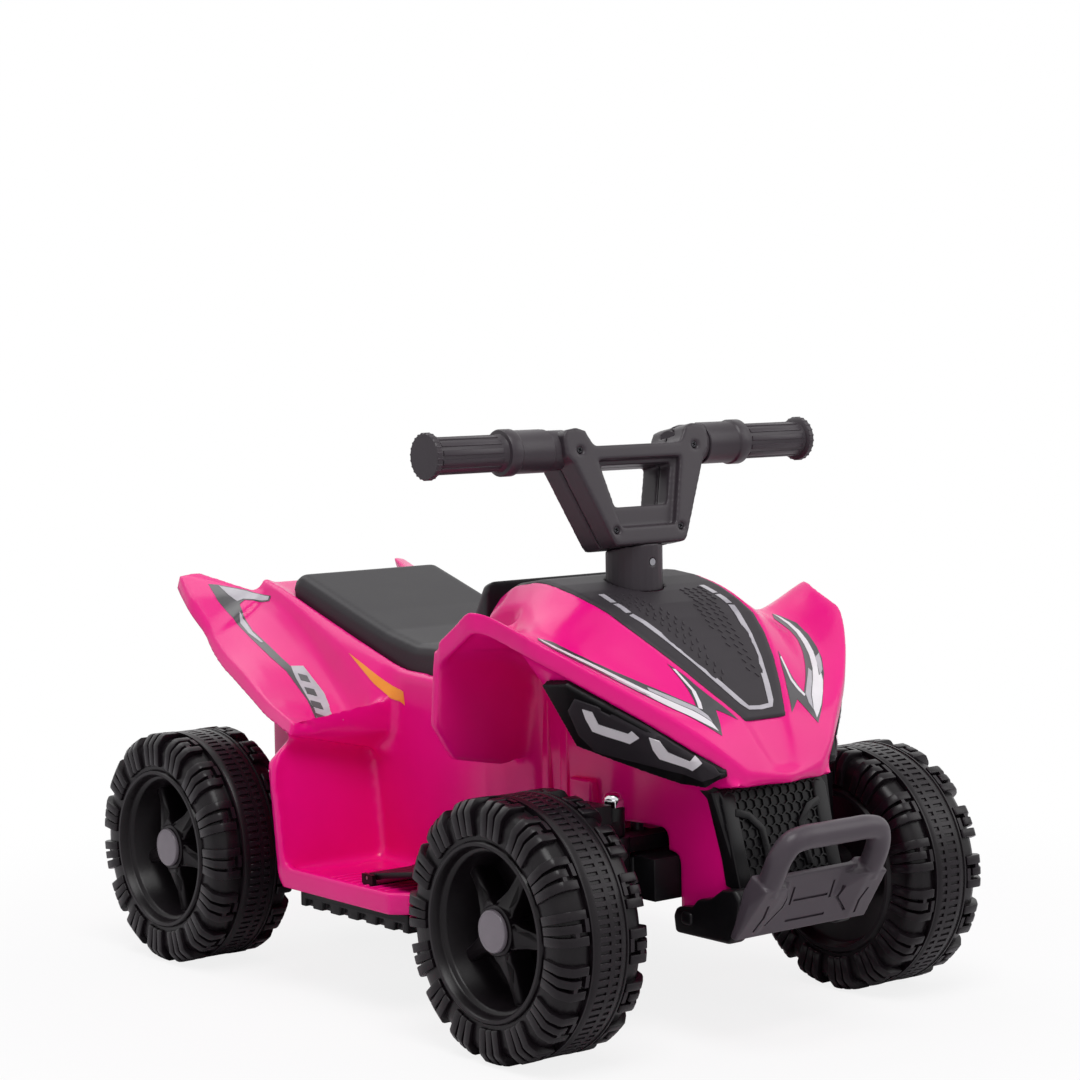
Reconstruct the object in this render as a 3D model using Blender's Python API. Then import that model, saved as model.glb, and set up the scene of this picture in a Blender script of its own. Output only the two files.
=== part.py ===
"""A child's four-wheel electric ride-on car, modelled as the quad that it is, at its real size.

Lengths are in metres and +Z is up. The front faces -Y, so the rider's right is -X. The origin is on the
floor, midway along the car. A place near the front wheels is given as (x, u, h) with u behind the front
axle and h above the axle line, and one near the rear wheels as (x, w, h) with w behind the rear axle.
"""

import math

import bmesh
import bpy
from mathutils import Matrix, Vector

# Overall
OVERALL_WIDTH = 0.420
WHEELBASE = 0.439
WHEEL_DIAMETER = 0.190
WHEEL_WIDTH = 0.079
FRONT_OVERHANG = 0.1503
REAR_OVERHANG = 0.1070
HALF_WIDTH = OVERALL_WIDTH / 2
WHEEL_RADIUS = WHEEL_DIAMETER / 2
AXLE_Z = WHEEL_RADIUS
FRONT_AXLE_Y = (FRONT_OVERHANG - REAR_OVERHANG - WHEELBASE) / 2
REAR_AXLE_Y = FRONT_AXLE_Y + WHEELBASE
WHEEL_X = HALF_WIDTH - WHEEL_WIDTH / 2
WHEEL_INNER_X = HALF_WIDTH - WHEEL_WIDTH

# Clearances
GAP = 0.0003
RUNNING_GAP = 0.0006

# Wheels and axles
AXLE_RADIUS = 0.005
AXLE_END_INSET = 0.0155
HUB_RADIUS = 0.0185
HUB_FACE_INSET = 0.0117
HUB_POCKET_RADIUS = 0.0125
HUB_POCKET_DEPTH = 0.0118
HUB_CAP_RADIUS = 0.0153
HUB_CAP_THICKNESS = 0.0028
RIM_RADIUS = 0.061
DISH_DEPTH = 0.0395
SPOKES = 5
SPOKE_ROOT_WIDTH = 0.017
SPOKE_TIP_WIDTH = 0.010
NUT_RADIUS = 0.0095
NUT_HEIGHT = 0.0068

# Steering
COLUMN_U = 0.0745
COLUMN_RADIUS = 0.005
KINGPIN_INSET = 0.044
KINGPIN_X = WHEEL_INNER_X - KINGPIN_INSET
KINGPIN_RADIUS = 0.004
STEER_ARM = 0.042
NOTCH_FRONT = 0.031
NOTCH_STEP = 0.020
NOTCH_BACK = 0.061
BLOCK_TOP = 0.039
EYE_BOTTOM = 0.008
EYE_TOP = 0.054
EYE_RADIUS = 0.012
SLEEVE_RADIUS = 0.0085
SLEEVE_TOP = 0.0755
TIE_ROD_BOTTOM = 0.0118
TIE_ROD_THICKNESS = 0.004
TIE_ROD_WIDTH = 0.012
TIE_PIN_RADIUS = 0.003
COLUMN_FOOT = TIE_ROD_BOTTOM + TIE_ROD_THICKNESS + 0.0012
CRANK_THICKNESS = 0.006

# Handlebar
NECK_RADIUS = 0.022
NECK_SEAT = 0.2215
BUSH_FLANGE = 0.0020
NECK_BOTTOM = NECK_SEAT + BUSH_FLANGE + 2 * GAP
BUSH_RADIUS = COLUMN_RADIUS + 0.006
BLOCK_BOTTOM = 0.2570
BLOCK_HEIGHT = 0.0860
BLOCK_BOTTOM_HALF = 0.0375
BLOCK_TOP_HALF = 0.0720
CROSSBAR_TOP = BLOCK_HEIGHT - 0.0090
BLOCK_DEPTH = 0.040
BLOCK_RAKE = math.radians(11.0)
BAR_RADIUS = 0.0110
BAR_LIFT = BLOCK_HEIGHT - 0.0085
BAR_END_INSET = 0.0248
BAR_INNER_X = 0.0480
GRIP_END_INSET = 0.0213
GRIP_RADIUS = 0.0135
GRIP_FLANGE_RADIUS = 0.0173
COLLAR_RADIUS = 0.0170
COLLAR_INNER_X = 0.0780
COLLAR_LENGTH = 0.0430
SCREW_RADIUS = 0.0015
SCREW_HEAD_RADIUS = 0.0028
SCREW_LENGTH = 0.022

# Body
WALL = 0.004
BODY_FLOOR = -0.018
RIM_STEP = 0.0008
COVER_THICKNESS = 0.0040
FLANGE_DROP = 0.016
FLANGE_THICKNESS = 0.007
REAR_FLARE = 0.004
REAR_DROP = 0.0110
NOSE_LENGTH = 0.0909
NOSE_TIP = 0.0981
FRONT_EDGE = 0.0065
TRUNK_HALF = 0.088
BOARD_EDGE_INSET = 0.025
BOARD_FRONT = WHEEL_RADIUS + 0.040
BOARD_BACK = -(WHEEL_RADIUS + 0.055)
BOARD_BOTTOM = -0.014
BOARD_TOP = 0.003
BOARD_LIP = 0.007
BOARD_SINK = 0.006
GUARD_U = WHEEL_RADIUS + 0.006
GUARD_THICKNESS = 0.008
FENDER_HALF = 0.1695
TAIL_END = 0.036
SEAT_HALF = 0.074
SEAT_BEVEL = 0.007
SEAT_TOP_POINTS = 11
TRAY_BOTTOM = -0.029
TRAY_TOP = BODY_FLOOR - GAP
SILL_INSET = 0.038
SILL_NOTCHES = 6

# Bumper, grille and headlights
HEADLIGHT_THICKNESS = 0.0070
HEADLIGHT_CORNER = 0.24
GRILLE_THICKNESS = 0.0065
BUMPER_TUBE_RADIUS = 0.0088
BUMPER_PLATE_THICKNESS = 0.0055

# Power
BATTERY_WIDTH = 0.070
BATTERY_LENGTH = 0.047
BATTERY_HEIGHT = 0.100
BATTERY_W = -0.215
GEAR_MODULE = 0.0015
DRIVE_TEETH = 40
WHEEL_TEETH = 40
PINION_TEETH = 10
FINE_MODULE = 0.00125
MOTOR_RADIUS = 0.0140
MOTOR_LENGTH = 0.038
MOTOR_SHAFT_RADIUS = 0.0015
IDLER_SHAFT_RADIUS = 0.0025
GEARBOX_WALL = 0.0025
GEARBOX_OUT = WHEEL_INNER_X - 0.0045
GEARBOX_IN = 0.0770
GEARBOX_FLOOR = 0.004
COVER_PLATE = 0.0028
DRIVE_RADIUS = GEAR_MODULE * DRIVE_TEETH / 2
IDLER_SMALL_RADIUS = GEAR_MODULE * PINION_TEETH / 2
IDLER_LARGE_RADIUS = FINE_MODULE * WHEEL_TEETH / 2
PINION_RADIUS = FINE_MODULE * PINION_TEETH / 2
IDLER_TURN = math.radians(130)
MOTOR_TURN = math.radians(110)
GEAR_BACKLASH = 0.0003

# Controls
PEDAL_X = 0.136
PEDAL_WIDTH = 0.044
PEDAL_LENGTH = 0.060
PEDAL_THICKNESS = 0.0045
PEDAL_PIN_RADIUS = 0.0016
SWITCH_W = -0.195
SWITCH_H = 0.060
SWITCH_LENGTH = 0.020
SWITCH_HEIGHT = 0.014
SOCKET_RADIUS = 0.0060
SOCKET_W = -0.195
SOCKET_H = 0.034

ROUND_STEPS = 32
SMALL_STEPS = 16
SMOOTH_ANGLE = math.radians(35)


def clear_scene():
    """Removes whatever the scene holds."""
    for obj in list(bpy.data.objects):
        bpy.data.objects.remove(obj, do_unlink=True)


def finish(name, red, green, blue, roughness, metallic=0.0):
    """A Principled material of one finish."""
    made = bpy.data.materials.get(name) or bpy.data.materials.new(name)
    made.use_nodes = True
    shader = made.node_tree.nodes["Principled BSDF"]
    shader.inputs["Base Color"].default_value = (red, green, blue, 1.0)
    shader.inputs["Roughness"].default_value = roughness
    shader.inputs["Metallic"].default_value = metallic
    return made


def pink_body():
    """The glossy pink of the blow-moulded body."""
    return finish("pink_blow_moulded_plastic", 0.85, 0.04, 0.28, 0.28)


def black_plastic():
    """The matt black of the seat, tray, wheels and panels."""
    return finish("black_moulded_plastic", 0.03, 0.03, 0.032, 0.45)


def charcoal_plastic():
    """The charcoal of the handlebar and the bumper."""
    return finish("charcoal_moulded_plastic", 0.05, 0.05, 0.052, 0.5)


def grey_plastic():
    """The grey of the hub caps."""
    return finish("grey_moulded_plastic", 0.2, 0.19, 0.2, 0.45)


def zinc_steel():
    """Zinc-plated steel, for shafts, links and screws."""
    return finish("zinc_plated_steel", 0.6, 0.6, 0.62, 0.35, 1.0)


def chrome():
    """Chromed steel, for the nuts and screws that show."""
    return finish("chrome_plated_steel", 0.75, 0.75, 0.77, 0.1, 1.0)


def nylon():
    """Natural nylon, for bushes and gears."""
    return finish("natural_nylon", 0.75, 0.73, 0.66, 0.45)


def front(x, u, h):
    """A point from its place behind the front axle and above the axle line."""
    return Vector((x, FRONT_AXLE_Y + u, AXLE_Z + h))


def rear(x, w, h):
    """A point from its place behind the rear axle and above the axle line."""
    return Vector((x, REAR_AXLE_Y + w, AXLE_Z + h))


def show(name, mesh_data, made, origin=None):
    """An object from a bmesh, with its origin moved to a point of its own, such as a joint's axis."""
    bmesh.ops.recalc_face_normals(mesh_data, faces=mesh_data.faces[:])
    if origin is not None:
        bmesh.ops.translate(mesh_data, verts=mesh_data.verts[:], vec=-Vector(origin))
    mesh = bpy.data.meshes.new(name)
    mesh_data.to_mesh(mesh)
    mesh_data.free()
    mesh.shade_smooth()
    mesh.set_sharp_from_angle(angle=SMOOTH_ANGLE)
    mesh.materials.append(made)
    obj = bpy.data.objects.new(name, mesh)
    if origin is not None:
        obj.location = origin
    bpy.context.scene.collection.objects.link(obj)
    return obj


def helper(name, mesh_data):
    """A shape that only cuts or joins: it isn't part of the car."""
    obj = show(name, mesh_data, black_plastic())
    obj.hide_render = True
    obj.display_type = "WIRE"
    return obj


def combine(obj, mesh_data, operation):
    """Adds a live Boolean of obj with a shape of its own."""
    other = helper(f"{obj.name}_{operation.lower()}_{len(obj.modifiers)}", mesh_data)
    modifier = obj.modifiers.new(other.name, "BOOLEAN")
    modifier.operation = operation
    modifier.object = other
    modifier.solver = "EXACT"
    return obj


def cut(obj, *shapes):
    """Takes shapes away from an object."""
    for shape in shapes:
        combine(obj, shape, "DIFFERENCE")
    return obj


def join(obj, *shapes):
    """Makes shapes one with an object."""
    for shape in shapes:
        combine(obj, shape, "UNION")
    return obj


def block(low, high):
    """A box between two corners."""
    made = bmesh.new()
    bmesh.ops.create_cube(made, size=1.0)
    low, high = Vector(low), Vector(high)
    for vert in made.verts:
        vert.co = Vector(low[i] + (vert.co[i] + 0.5) * (high[i] - low[i]) for i in range(3))
    return made


def bevelled(made, width, segments=1, angle=math.radians(30)):
    """Bevels every edge that is sharper than the angle."""
    sharp = [edge for edge in made.edges if edge.calc_face_angle(0.0) > angle]
    bmesh.ops.bevel(
        made, geom=sharp, offset=width, segments=segments, profile=0.5, affect="EDGES", clamp_overlap=True
    )
    return made


def prism(outline, low, high, axis="X"):
    """An outline of (a, b) points carried along an axis: (y, z) for X, (x, z) for Y and (x, y) for Z."""
    place = {
        "X": lambda a, b, t: (t, a, b),
        "Y": lambda a, b, t: (a, t, b),
        "Z": lambda a, b, t: (a, b, t),
    }[axis]
    return loft([[Vector(place(a, b, t)) for a, b in outline] for t in (low, high)])


def loft(rings):
    """A closed solid through rings of equally many points."""
    made = bmesh.new()
    rows = [[made.verts.new(point) for point in ring] for ring in rings]
    count = len(rows[0])
    for one, two in zip(rows[:-1], rows[1:]):
        for i in range(count):
            j = (i + 1) % count
            made.faces.new((one[i], one[j], two[j], two[i]))
    made.faces.new(rows[0][::-1])
    made.faces.new(rows[-1])
    bmesh.ops.recalc_face_normals(made, faces=made.faces[:])
    if len(rings) > 2:
        bmesh.ops.triangulate(made, faces=made.faces[:])
    return made


def hull(points):
    """The convex solid round some points."""
    made = bmesh.new()
    for point in points:
        made.verts.new(point)
    bmesh.ops.convex_hull(made, input=made.verts[:])
    loose = [vert for vert in made.verts if not vert.link_faces]
    bmesh.ops.delete(made, geom=loose, context="VERTS")
    return made


def turned(profile, centre, axis, steps=ROUND_STEPS):
    """A profile of (radius, along) points turned about an axis.

    The profile closes on itself, or on the axis at both ends.
    """
    made = bmesh.new()
    along = Vector(axis).normalized()
    side = along.orthogonal().normalized()
    centre = Vector(centre)
    verts = [made.verts.new(centre + side * r + along * a) for r, a in profile]
    edges = [made.edges.new((one, two)) for one, two in zip(verts[:-1], verts[1:])]
    if profile[0][0] > 0:
        edges.append(made.edges.new((verts[-1], verts[0])))
    bmesh.ops.spin(
        made, geom=verts + edges, cent=centre, axis=along, angle=math.tau, steps=steps, use_merge=True
    )
    bmesh.ops.remove_doubles(made, verts=made.verts[:], dist=1e-6)
    bmesh.ops.recalc_face_normals(made, faces=made.faces[:])
    return made


def flat_sided(made, centre, axis, steps):
    """A turned solid with its flats, in place of its corners, at the stated radii and square to the axes."""
    half_step = math.pi / steps
    grown = 1 / math.cos(half_step)
    along = Vector(axis).normalized()
    stretch = Matrix.Diagonal([1.0 if abs(part) > 0.5 else grown for part in along] + [1.0])
    to_centre = Matrix.Translation(Vector(centre))
    turn = Matrix.Rotation(half_step, 4, along)
    return slanted(made, to_centre @ turn @ stretch @ to_centre.inverted())


def rod(start, end, radius, steps=SMALL_STEPS):
    """A round bar between two points."""
    start, end = Vector(start), Vector(end)
    length = (end - start).length
    return turned([(0, 0), (radius, 0), (radius, length), (0, length)], start, end - start, steps)


def tube_along(points, radius, sides=10):
    """A round bar that follows points in one plane, square to its path at both ends."""
    path = [Vector(point) for point in points]
    normal = (path[1] - path[0]).cross(path[-1] - path[0]).normalized()
    rings = []
    for i, point in enumerate(path):
        before = (point - path[i - 1]).normalized() if i else (path[1] - point).normalized()
        after = (path[i + 1] - point).normalized() if i + 1 < len(path) else before
        way = (before + after).normalized()
        reach = radius / max(way.dot(before), 0.5)
        side = way.cross(normal).normalized()
        turns = [math.tau * k / sides for k in range(sides)]
        rings.append([point + side * (reach * math.cos(t)) + normal * (radius * math.sin(t)) for t in turns])
    return loft(rings)


def slanted(made, matrix):
    """The shape moved by a matrix."""
    bmesh.ops.transform(made, matrix=matrix, verts=made.verts[:])
    return made


def both_sides(half):
    """A ring from its right half, listed from the middle of the top round to the middle of the bottom."""
    return half + [Vector((-p.x, p.y, p.z)) for p in reversed(half)]


def even(one, two, count):
    """Points spread evenly between two, without them."""
    return [one + (two - one) * (k / (count + 1)) for k in range(1, count + 1)]


def on_side(made, side):
    """A shape given for the +X side, put on the side asked for."""
    return slanted(made, Matrix.Diagonal((side, 1, 1, 1)))


def mirrored(points, side):
    """Points given for the +X side, put on the side asked for."""
    return [Vector((p.x * side, p.y, p.z)) for p in points]


class Station:
    """One cross-section of the body shell, as the right half of a ring of eleven points."""

    def __init__(self, place, along, cover, bulge, side, floor_half, fender=None):
        """cover, bulge and side are (x, h); fender is (valley, ridge, under, inner) where one stands out."""
        self.place, self.along = place, along
        self.cover, self.bulge, self.side, self.floor_half = cover, bulge, side, floor_half
        self.fender = fender

    def point(self, x, h):
        """A point of this cross-section."""
        return self.place(x, self.along, h)

    def fender_points(self):
        """The six points from the bulge down to the side: the fender, or even steps where none stands out."""
        bulge, side = self.point(*self.bulge), self.point(*self.side)
        if self.fender is None:
            return even(bulge, side, 6)
        valley, ridge, under, inner = self.fender
        if inner[0] > ridge[0] - 0.012:
            return [self.point(*valley), self.point(*ridge)] + even(self.point(*ridge), side, 4)
        flare, drop, width = (-0.001, FLANGE_DROP, FLANGE_THICKNESS - 0.001)
        if self.place is rear:
            flare, drop, width = REAR_FLARE, REAR_DROP, FLANGE_THICKNESS
        return [
            self.point(*valley),
            self.point(*ridge),
            self.point(ridge[0] + flare, ridge[1] - drop),
            self.point(ridge[0] + flare - width, ridge[1] - drop - (0.002 if self.place is rear else 0)),
            self.point(*under),
            self.point(*inner),
        ]

    def ring(self):
        """The outer ring of this cross-section."""
        x, h = self.cover
        half = [self.point(x, h - COVER_THICKNESS - GAP), self.point(x + RIM_STEP, h - RIM_STEP)]
        half += [self.point(*self.bulge)] + self.fender_points()
        half += [self.point(*self.side), self.point(self.floor_half, BODY_FLOOR)]
        return both_sides(half)

    def cavity_ring(self, roof):
        """The ring of the hollow inside this cross-section, under a roof of this depth."""
        x, h = self.cover
        half = [
            self.point(x - 0.004, h - roof),
            self.point(self.bulge[0] - 0.006, min(self.bulge[1] - 0.010, h - roof - 0.001)),
            self.point(self.side[0] - WALL - 0.001, self.side[1] - WALL),
            self.point(self.floor_half - WALL, BODY_FLOOR - 0.010),
        ]
        return both_sides(half)


def sheet_fender(valley, ridge):
    """A fender that is a sheet with a turned-down edge: its (valley, ridge, under, inner)."""
    under = (ridge[0] - 0.011, ridge[1] - 0.008)
    inner = (valley[0] - 0.005, valley[1] - 0.008)
    return valley, ridge, under, inner


def body_stations():
    """The cross-sections of the body shell, front to back, with the depth of its roof at each."""
    nose = [
        (NOSE_LENGTH, (0.0100, 0.1065), (0.0180, 0.1065), (0.050, 0.0935), 0.050,
         ((0.0280, 0.1062), (0.0377, 0.1060), (0.0310, 0.0962), (0.0410, 0.0955))),
        (0.085, (0.0140, 0.1175), (0.0240, 0.1175), (0.050, 0.0935), 0.050,
         ((0.0360, 0.1175), (0.0510, 0.1183), (0.0400, 0.0970), (0.0450, 0.0955))),
        (0.070, (0.0212, 0.1417), (0.0360, 0.1395), (0.051, 0.0935), 0.050,
         ((0.0500, 0.1385), (0.0736, 0.1385), (0.0535, 0.0970), (0.0520, 0.0955))),
        (0.050, (0.0353, 0.1610), (0.0500, 0.1570), (0.051, 0.0935), 0.050,
         ((0.0700, 0.1530), (0.1013, 0.1602), (0.0600, 0.0990), (0.0540, 0.0965))),
        (0.030, (0.0476, 0.1790), (0.0620, 0.1740), (0.052, 0.1000), 0.050,
         ((0.0840, 0.1660), (0.1232, 0.1771), (0.0760, 0.1070), (0.0560, 0.1040))),
        (0.010, (0.0577, 0.1944), (0.0730, 0.1870), (0.054, 0.1050), 0.053,
         ((0.0960, 0.1770), (0.1416, 0.1920), (0.0930, 0.1160), (0.0580, 0.1100))),
        (-0.010, (0.0650, 0.2074), (0.0800, 0.1990), (0.056, 0.1100), 0.055,
         ((0.1060, 0.1860), (0.1559, 0.2044), (0.1060, 0.1240), (0.0600, 0.1160))),
    ]
    found = [Station(front, -ahead, *rest) for ahead, *rest in nose]
    arch = [
        (0.030, (0.0671, 0.2171), (0.0850, 0.2050), (0.066, 0.1650), 0.057, (0.110, 0.193), (0.1597, 0.2116)),
        (0.050, (0.0696, 0.2240), (0.0880, 0.2120), (0.068, 0.1700), 0.060, (0.113, 0.199), (0.1640, 0.2187)),
        (0.0615, (0.0702, 0.2273), (0.0890, 0.2140), (0.069, 0.1720), 0.060, (0.115, 0.201),
         (FENDER_HALF, 0.221)),
        (0.080, (0.0705, 0.2315), (0.0900, 0.2150), (0.070, 0.1720), 0.062, (0.113, 0.197),
         (FENDER_HALF, 0.209)),
        (GUARD_U, (0.0685, 0.2340), (0.0880, 0.2150), (0.072, 0.1650), 0.064, (0.105, 0.189),
         (FENDER_HALF, 0.195)),
    ]
    for u, cover, bulge, side, floor_half, valley, ridge in arch:
        found.append(Station(front, u, cover, bulge, side, floor_half, sheet_fender(valley, ridge)))
    tank_back = [
        (GUARD_U + GUARD_THICKNESS, (0.0675, 0.2340), (0.0870, 0.2150), (0.080, 0.1400), 0.068),
        (0.132, (0.0700, 0.2300), (0.0870, 0.2120), (0.086, 0.1200), 0.078),
        (0.150, (0.0700, 0.2200), (0.0850, 0.2020), (TRUNK_HALF, 0.1000), TRUNK_HALF),
        (0.161, (0.0740, 0.1700), (0.0850, 0.1600), (TRUNK_HALF, 0.0850), TRUNK_HALF),
        (0.185, (0.0760, 0.1540), (0.0840, 0.1500), (TRUNK_HALF, 0.0850), TRUNK_HALF),
        (0.220, (0.0760, 0.1520), (0.0830, 0.1480), (TRUNK_HALF, 0.0850), TRUNK_HALF),
    ]
    found += [Station(front, *rest) for rest in tank_back]
    found.append(Station(rear, BOARD_BACK - 0.018, (0.0765, 0.1550), (0.0830, 0.1500), (TRUNK_HALF, 0.0850),
                         TRUNK_HALF))
    wing = [
        (BOARD_BACK, (0.0770, 0.1600), (0.0830, 0.1550), (TRUNK_HALF, 0.0760), 0.086, (0.118, 0.102),
         (0.1728, 0.1173)),
        (-0.098, (0.0775, 0.1760), (0.0850, 0.1720), (0.080, 0.1050), 0.080, (0.101, 0.139),
         (0.1615, 0.1270)),
        (-0.045, (0.0775, 0.1930), (0.0840, 0.1890), (0.076, 0.1400), 0.076, (0.091, 0.173),
         (0.1500, 0.1440)),
        (0.001, (0.0770, 0.2080), (0.0820, 0.2050), (0.074, 0.1700), 0.074, (0.086, 0.196), (0.1405, 0.1580)),
        (0.023, (0.0745, 0.2125), (0.0800, 0.2102), (0.072, 0.1730), 0.072, (0.084, 0.202), (0.1355, 0.1680)),
        (TAIL_END, (0.0720, 0.2150), (0.0780, 0.2130), (0.070, 0.1750), 0.070, (0.082, 0.206),
         (0.1320, 0.1760)),
    ]
    for w, cover, bulge, side, floor_half, valley, ridge in wing:
        under = (ridge[0] - 0.016, ridge[1] - 0.0155)
        inner = (side[0] + 0.008, min(valley[1] - 0.014, side[1] + 0.018))
        found.append(Station(rear, w, cover, bulge, side, floor_half, (valley, ridge, under, inner)))
    return found


def nose_tip():
    """The pointed lip of the nose, ahead of the first cross-section."""
    points = []
    for side in (1, -1):
        points += mirrored([
            front(0.0370, -NOSE_LENGTH + 0.0004, 0.1058), front(0.0360, -NOSE_LENGTH + 0.0004, 0.0975),
            front(0.0300, -NOSE_LENGTH + 0.012, 0.1055), front(0.0300, -NOSE_LENGTH + 0.012, 0.0975),
        ], side)
    points += [front(0, -NOSE_TIP, 0.1010), front(0, -NOSE_TIP + 0.001, 0.0940)]
    return hull(points)


def splash_guard(side):
    """The panel behind a front wheel."""
    outline = [(0.060, 0.165), (0.060, 0.105), (0.100, 0.095), (0.148, 0.104), (0.1675, 0.131),
               (0.1675, 0.1885),
               (0.105, 0.176)]
    points = []
    for x, h in outline:
        lean = 0.010 * (0.195 - h) / 0.1
        points += [front(x, GUARD_U + lean, h), front(x, GUARD_U + lean + GUARD_THICKNESS, h)]
    return hull(mirrored(points, side))


def foot_board(side):
    """A foot board with a raised lip on its open edges."""
    edge = HALF_WIDTH - BOARD_EDGE_INSET
    start, stop = front(0, BOARD_FRONT, 0).y, rear(0, BOARD_BACK, 0).y + 0.004
    low = AXLE_Z + BOARD_BOTTOM
    outline = [(0.075, start), (edge - 0.012, start), (edge, start + 0.012), (edge, stop), (0.075, stop)]
    return on_side(prism(outline, low, AXLE_Z + BOARD_TOP, "Z"), side)


def foot_well(side):
    """The hollow that leaves a foot board its lip."""
    edge = HALF_WIDTH - BOARD_EDGE_INSET - BOARD_LIP
    start = front(0, BOARD_FRONT + BOARD_LIP, 0).y
    stop = rear(0, BOARD_BACK + 0.002, 0).y
    low, high = AXLE_Z + BOARD_TOP - BOARD_SINK, AXLE_Z + BOARD_TOP + 0.0008
    outline = [(TRUNK_HALF + 0.0005, start), (edge - 0.010, start), (edge, start + 0.010), (edge, stop),
               (TRUNK_HALF + 0.0005, stop)]
    return on_side(prism(outline, low, high, "Z"), side)


def back_panel(side):
    """The wall between a foot well and the rear wheel, which carries the rear fender's front edge."""
    edge = HALF_WIDTH - BOARD_EDGE_INSET
    low = BOARD_BOTTOM + 0.0004
    outline = [(0.070, low), (edge - 0.006, low), (edge - 0.0003, low + 0.006), (edge - 0.0003, 0.084),
               (edge - 0.025, 0.103), (0.118, 0.1015), (0.070, 0.100)]
    points = []
    for x, h in outline:
        lean = 0.014 * (h - BOARD_BOTTOM) / 0.11 - 0.0015
        points += [rear(x, BOARD_BACK + lean, h), rear(x, BOARD_BACK + lean + 0.010, h)]
    return hull(mirrored(points, side))


def wing_tip(side):
    """The pointed end of a rear fender, past the tail."""
    w = TAIL_END - 0.004
    points = [
        rear(0.0835, w, 0.2035), rear(0.1320, w, 0.1735), rear(0.1358, w, 0.1640), rear(0.1290, w, 0.1620),
        rear(0.0815, w, 0.1935), rear(0.1330, 0.070, 0.1880), rear(0.1290, 0.070, 0.1985),
        rear(0.1040, REAR_OVERHANG - 0.012, 0.2175), rear(0.1200, REAR_OVERHANG - 0.004, 0.2160),
        rear(0.1210, REAR_OVERHANG, 0.2030), rear(0.1120, REAR_OVERHANG - 0.007, 0.2045),
    ]
    return hull(mirrored(points, side))


def seat_outline(grow=0.0):
    """The saddle seen from the side, as (y, z), larger all round by grow."""
    top = [
        front(0, 0.1630, 0.2300), front(0, 0.1720, 0.2270), front(0, 0.1820, 0.2080), front(0, 0.1960,
                                                                                            0.1860),
        front(0, 0.2200, 0.1740), rear(0, -0.1790, 0.1730), rear(0, -0.1390, 0.1810), rear(0, -0.0990,
                                                                                           0.1930),
        rear(0, -0.0490, 0.2090), rear(0, -0.0140, 0.2200), rear(0, -0.0060, 0.2150),
    ]
    bottom = [
        rear(0, -0.0080, 0.1960), rear(0, -0.0490, 0.1840), rear(0, -0.0990, 0.1680), rear(0, -0.1490,
                                                                                           0.1520),
        rear(0, -0.1790, 0.1460), front(0, 0.2200, 0.1440), front(0, 0.1850, 0.1460), front(0, 0.1670,
                                                                                            0.1600),
    ]
    points = [Vector((p.y, p.z)) for p in top + bottom]
    grown = []
    for before, point, after in zip([points[-1]] + points[:-1], points, points[1:] + [points[0]]):
        normals = [Vector((-(b - a).y, (b - a).x)).normalized() for a, b in ((before, point), (point, after))]
        middle = (normals[0] + normals[1]).normalized()
        grown.append(point + middle * (grow / max(middle.dot(normals[0]), 0.4)))
    return [(p.x, p.y) for p in grown]


def seat_solid(grow=0.0):
    """The saddle with its upper rims bevelled, larger all round by grow."""
    made = prism(seat_outline(grow), -SEAT_HALF - grow, SEAT_HALF + grow, "X")
    made.verts.ensure_lookup_table()
    count = len(made.verts) // 2
    rims = []
    for ring in (0, count):
        for k in range(SEAT_TOP_POINTS - 1):
            rims.append(made.edges.get((made.verts[ring + k], made.verts[ring + k + 1])))
    bmesh.ops.bevel(made, geom=rims, offset=SEAT_BEVEL, segments=2, profile=0.5, affect="EDGES")
    return made


def grille_frame():
    """A matrix from the grille's own plane, x across and z up its slope, to the car."""
    foot, head = front(0, -0.0990, -0.012), front(0, -0.0680, 0.094)
    up = (head - foot).normalized()
    out = Vector((1, 0, 0)).cross(up)
    matrix = Matrix(((1, 0, 0), out, up)).transposed().to_4x4()
    matrix.translation = foot
    return matrix


def front_slant():
    """What the grille's slope takes off the front of the body, below the nose."""
    made = block((-0.08, -GAP, -0.05), (0.08, 0.2, 0.16))
    slanted(made, grille_frame())
    keep = block((-0.1, FRONT_AXLE_Y - 0.3, 0), (0.1, FRONT_AXLE_Y - 0.02, AXLE_Z + 0.0945))
    return intersection(made, keep)


def intersection(one, two):
    """The space that two shapes share, as one bmesh."""
    first, second = helper("shared_space_one", one), helper("shared_space_two", two)
    modifier = first.modifiers.new("shared", "BOOLEAN")
    modifier.operation = "INTERSECT"
    modifier.object = second
    modifier.solver = "EXACT"
    graph = bpy.context.evaluated_depsgraph_get()
    made = bmesh.new()
    made.from_mesh(bpy.data.meshes.new_from_object(first.evaluated_get(graph)))
    for obj in (first, second):
        bpy.data.objects.remove(obj, do_unlink=True)
    return made


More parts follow.
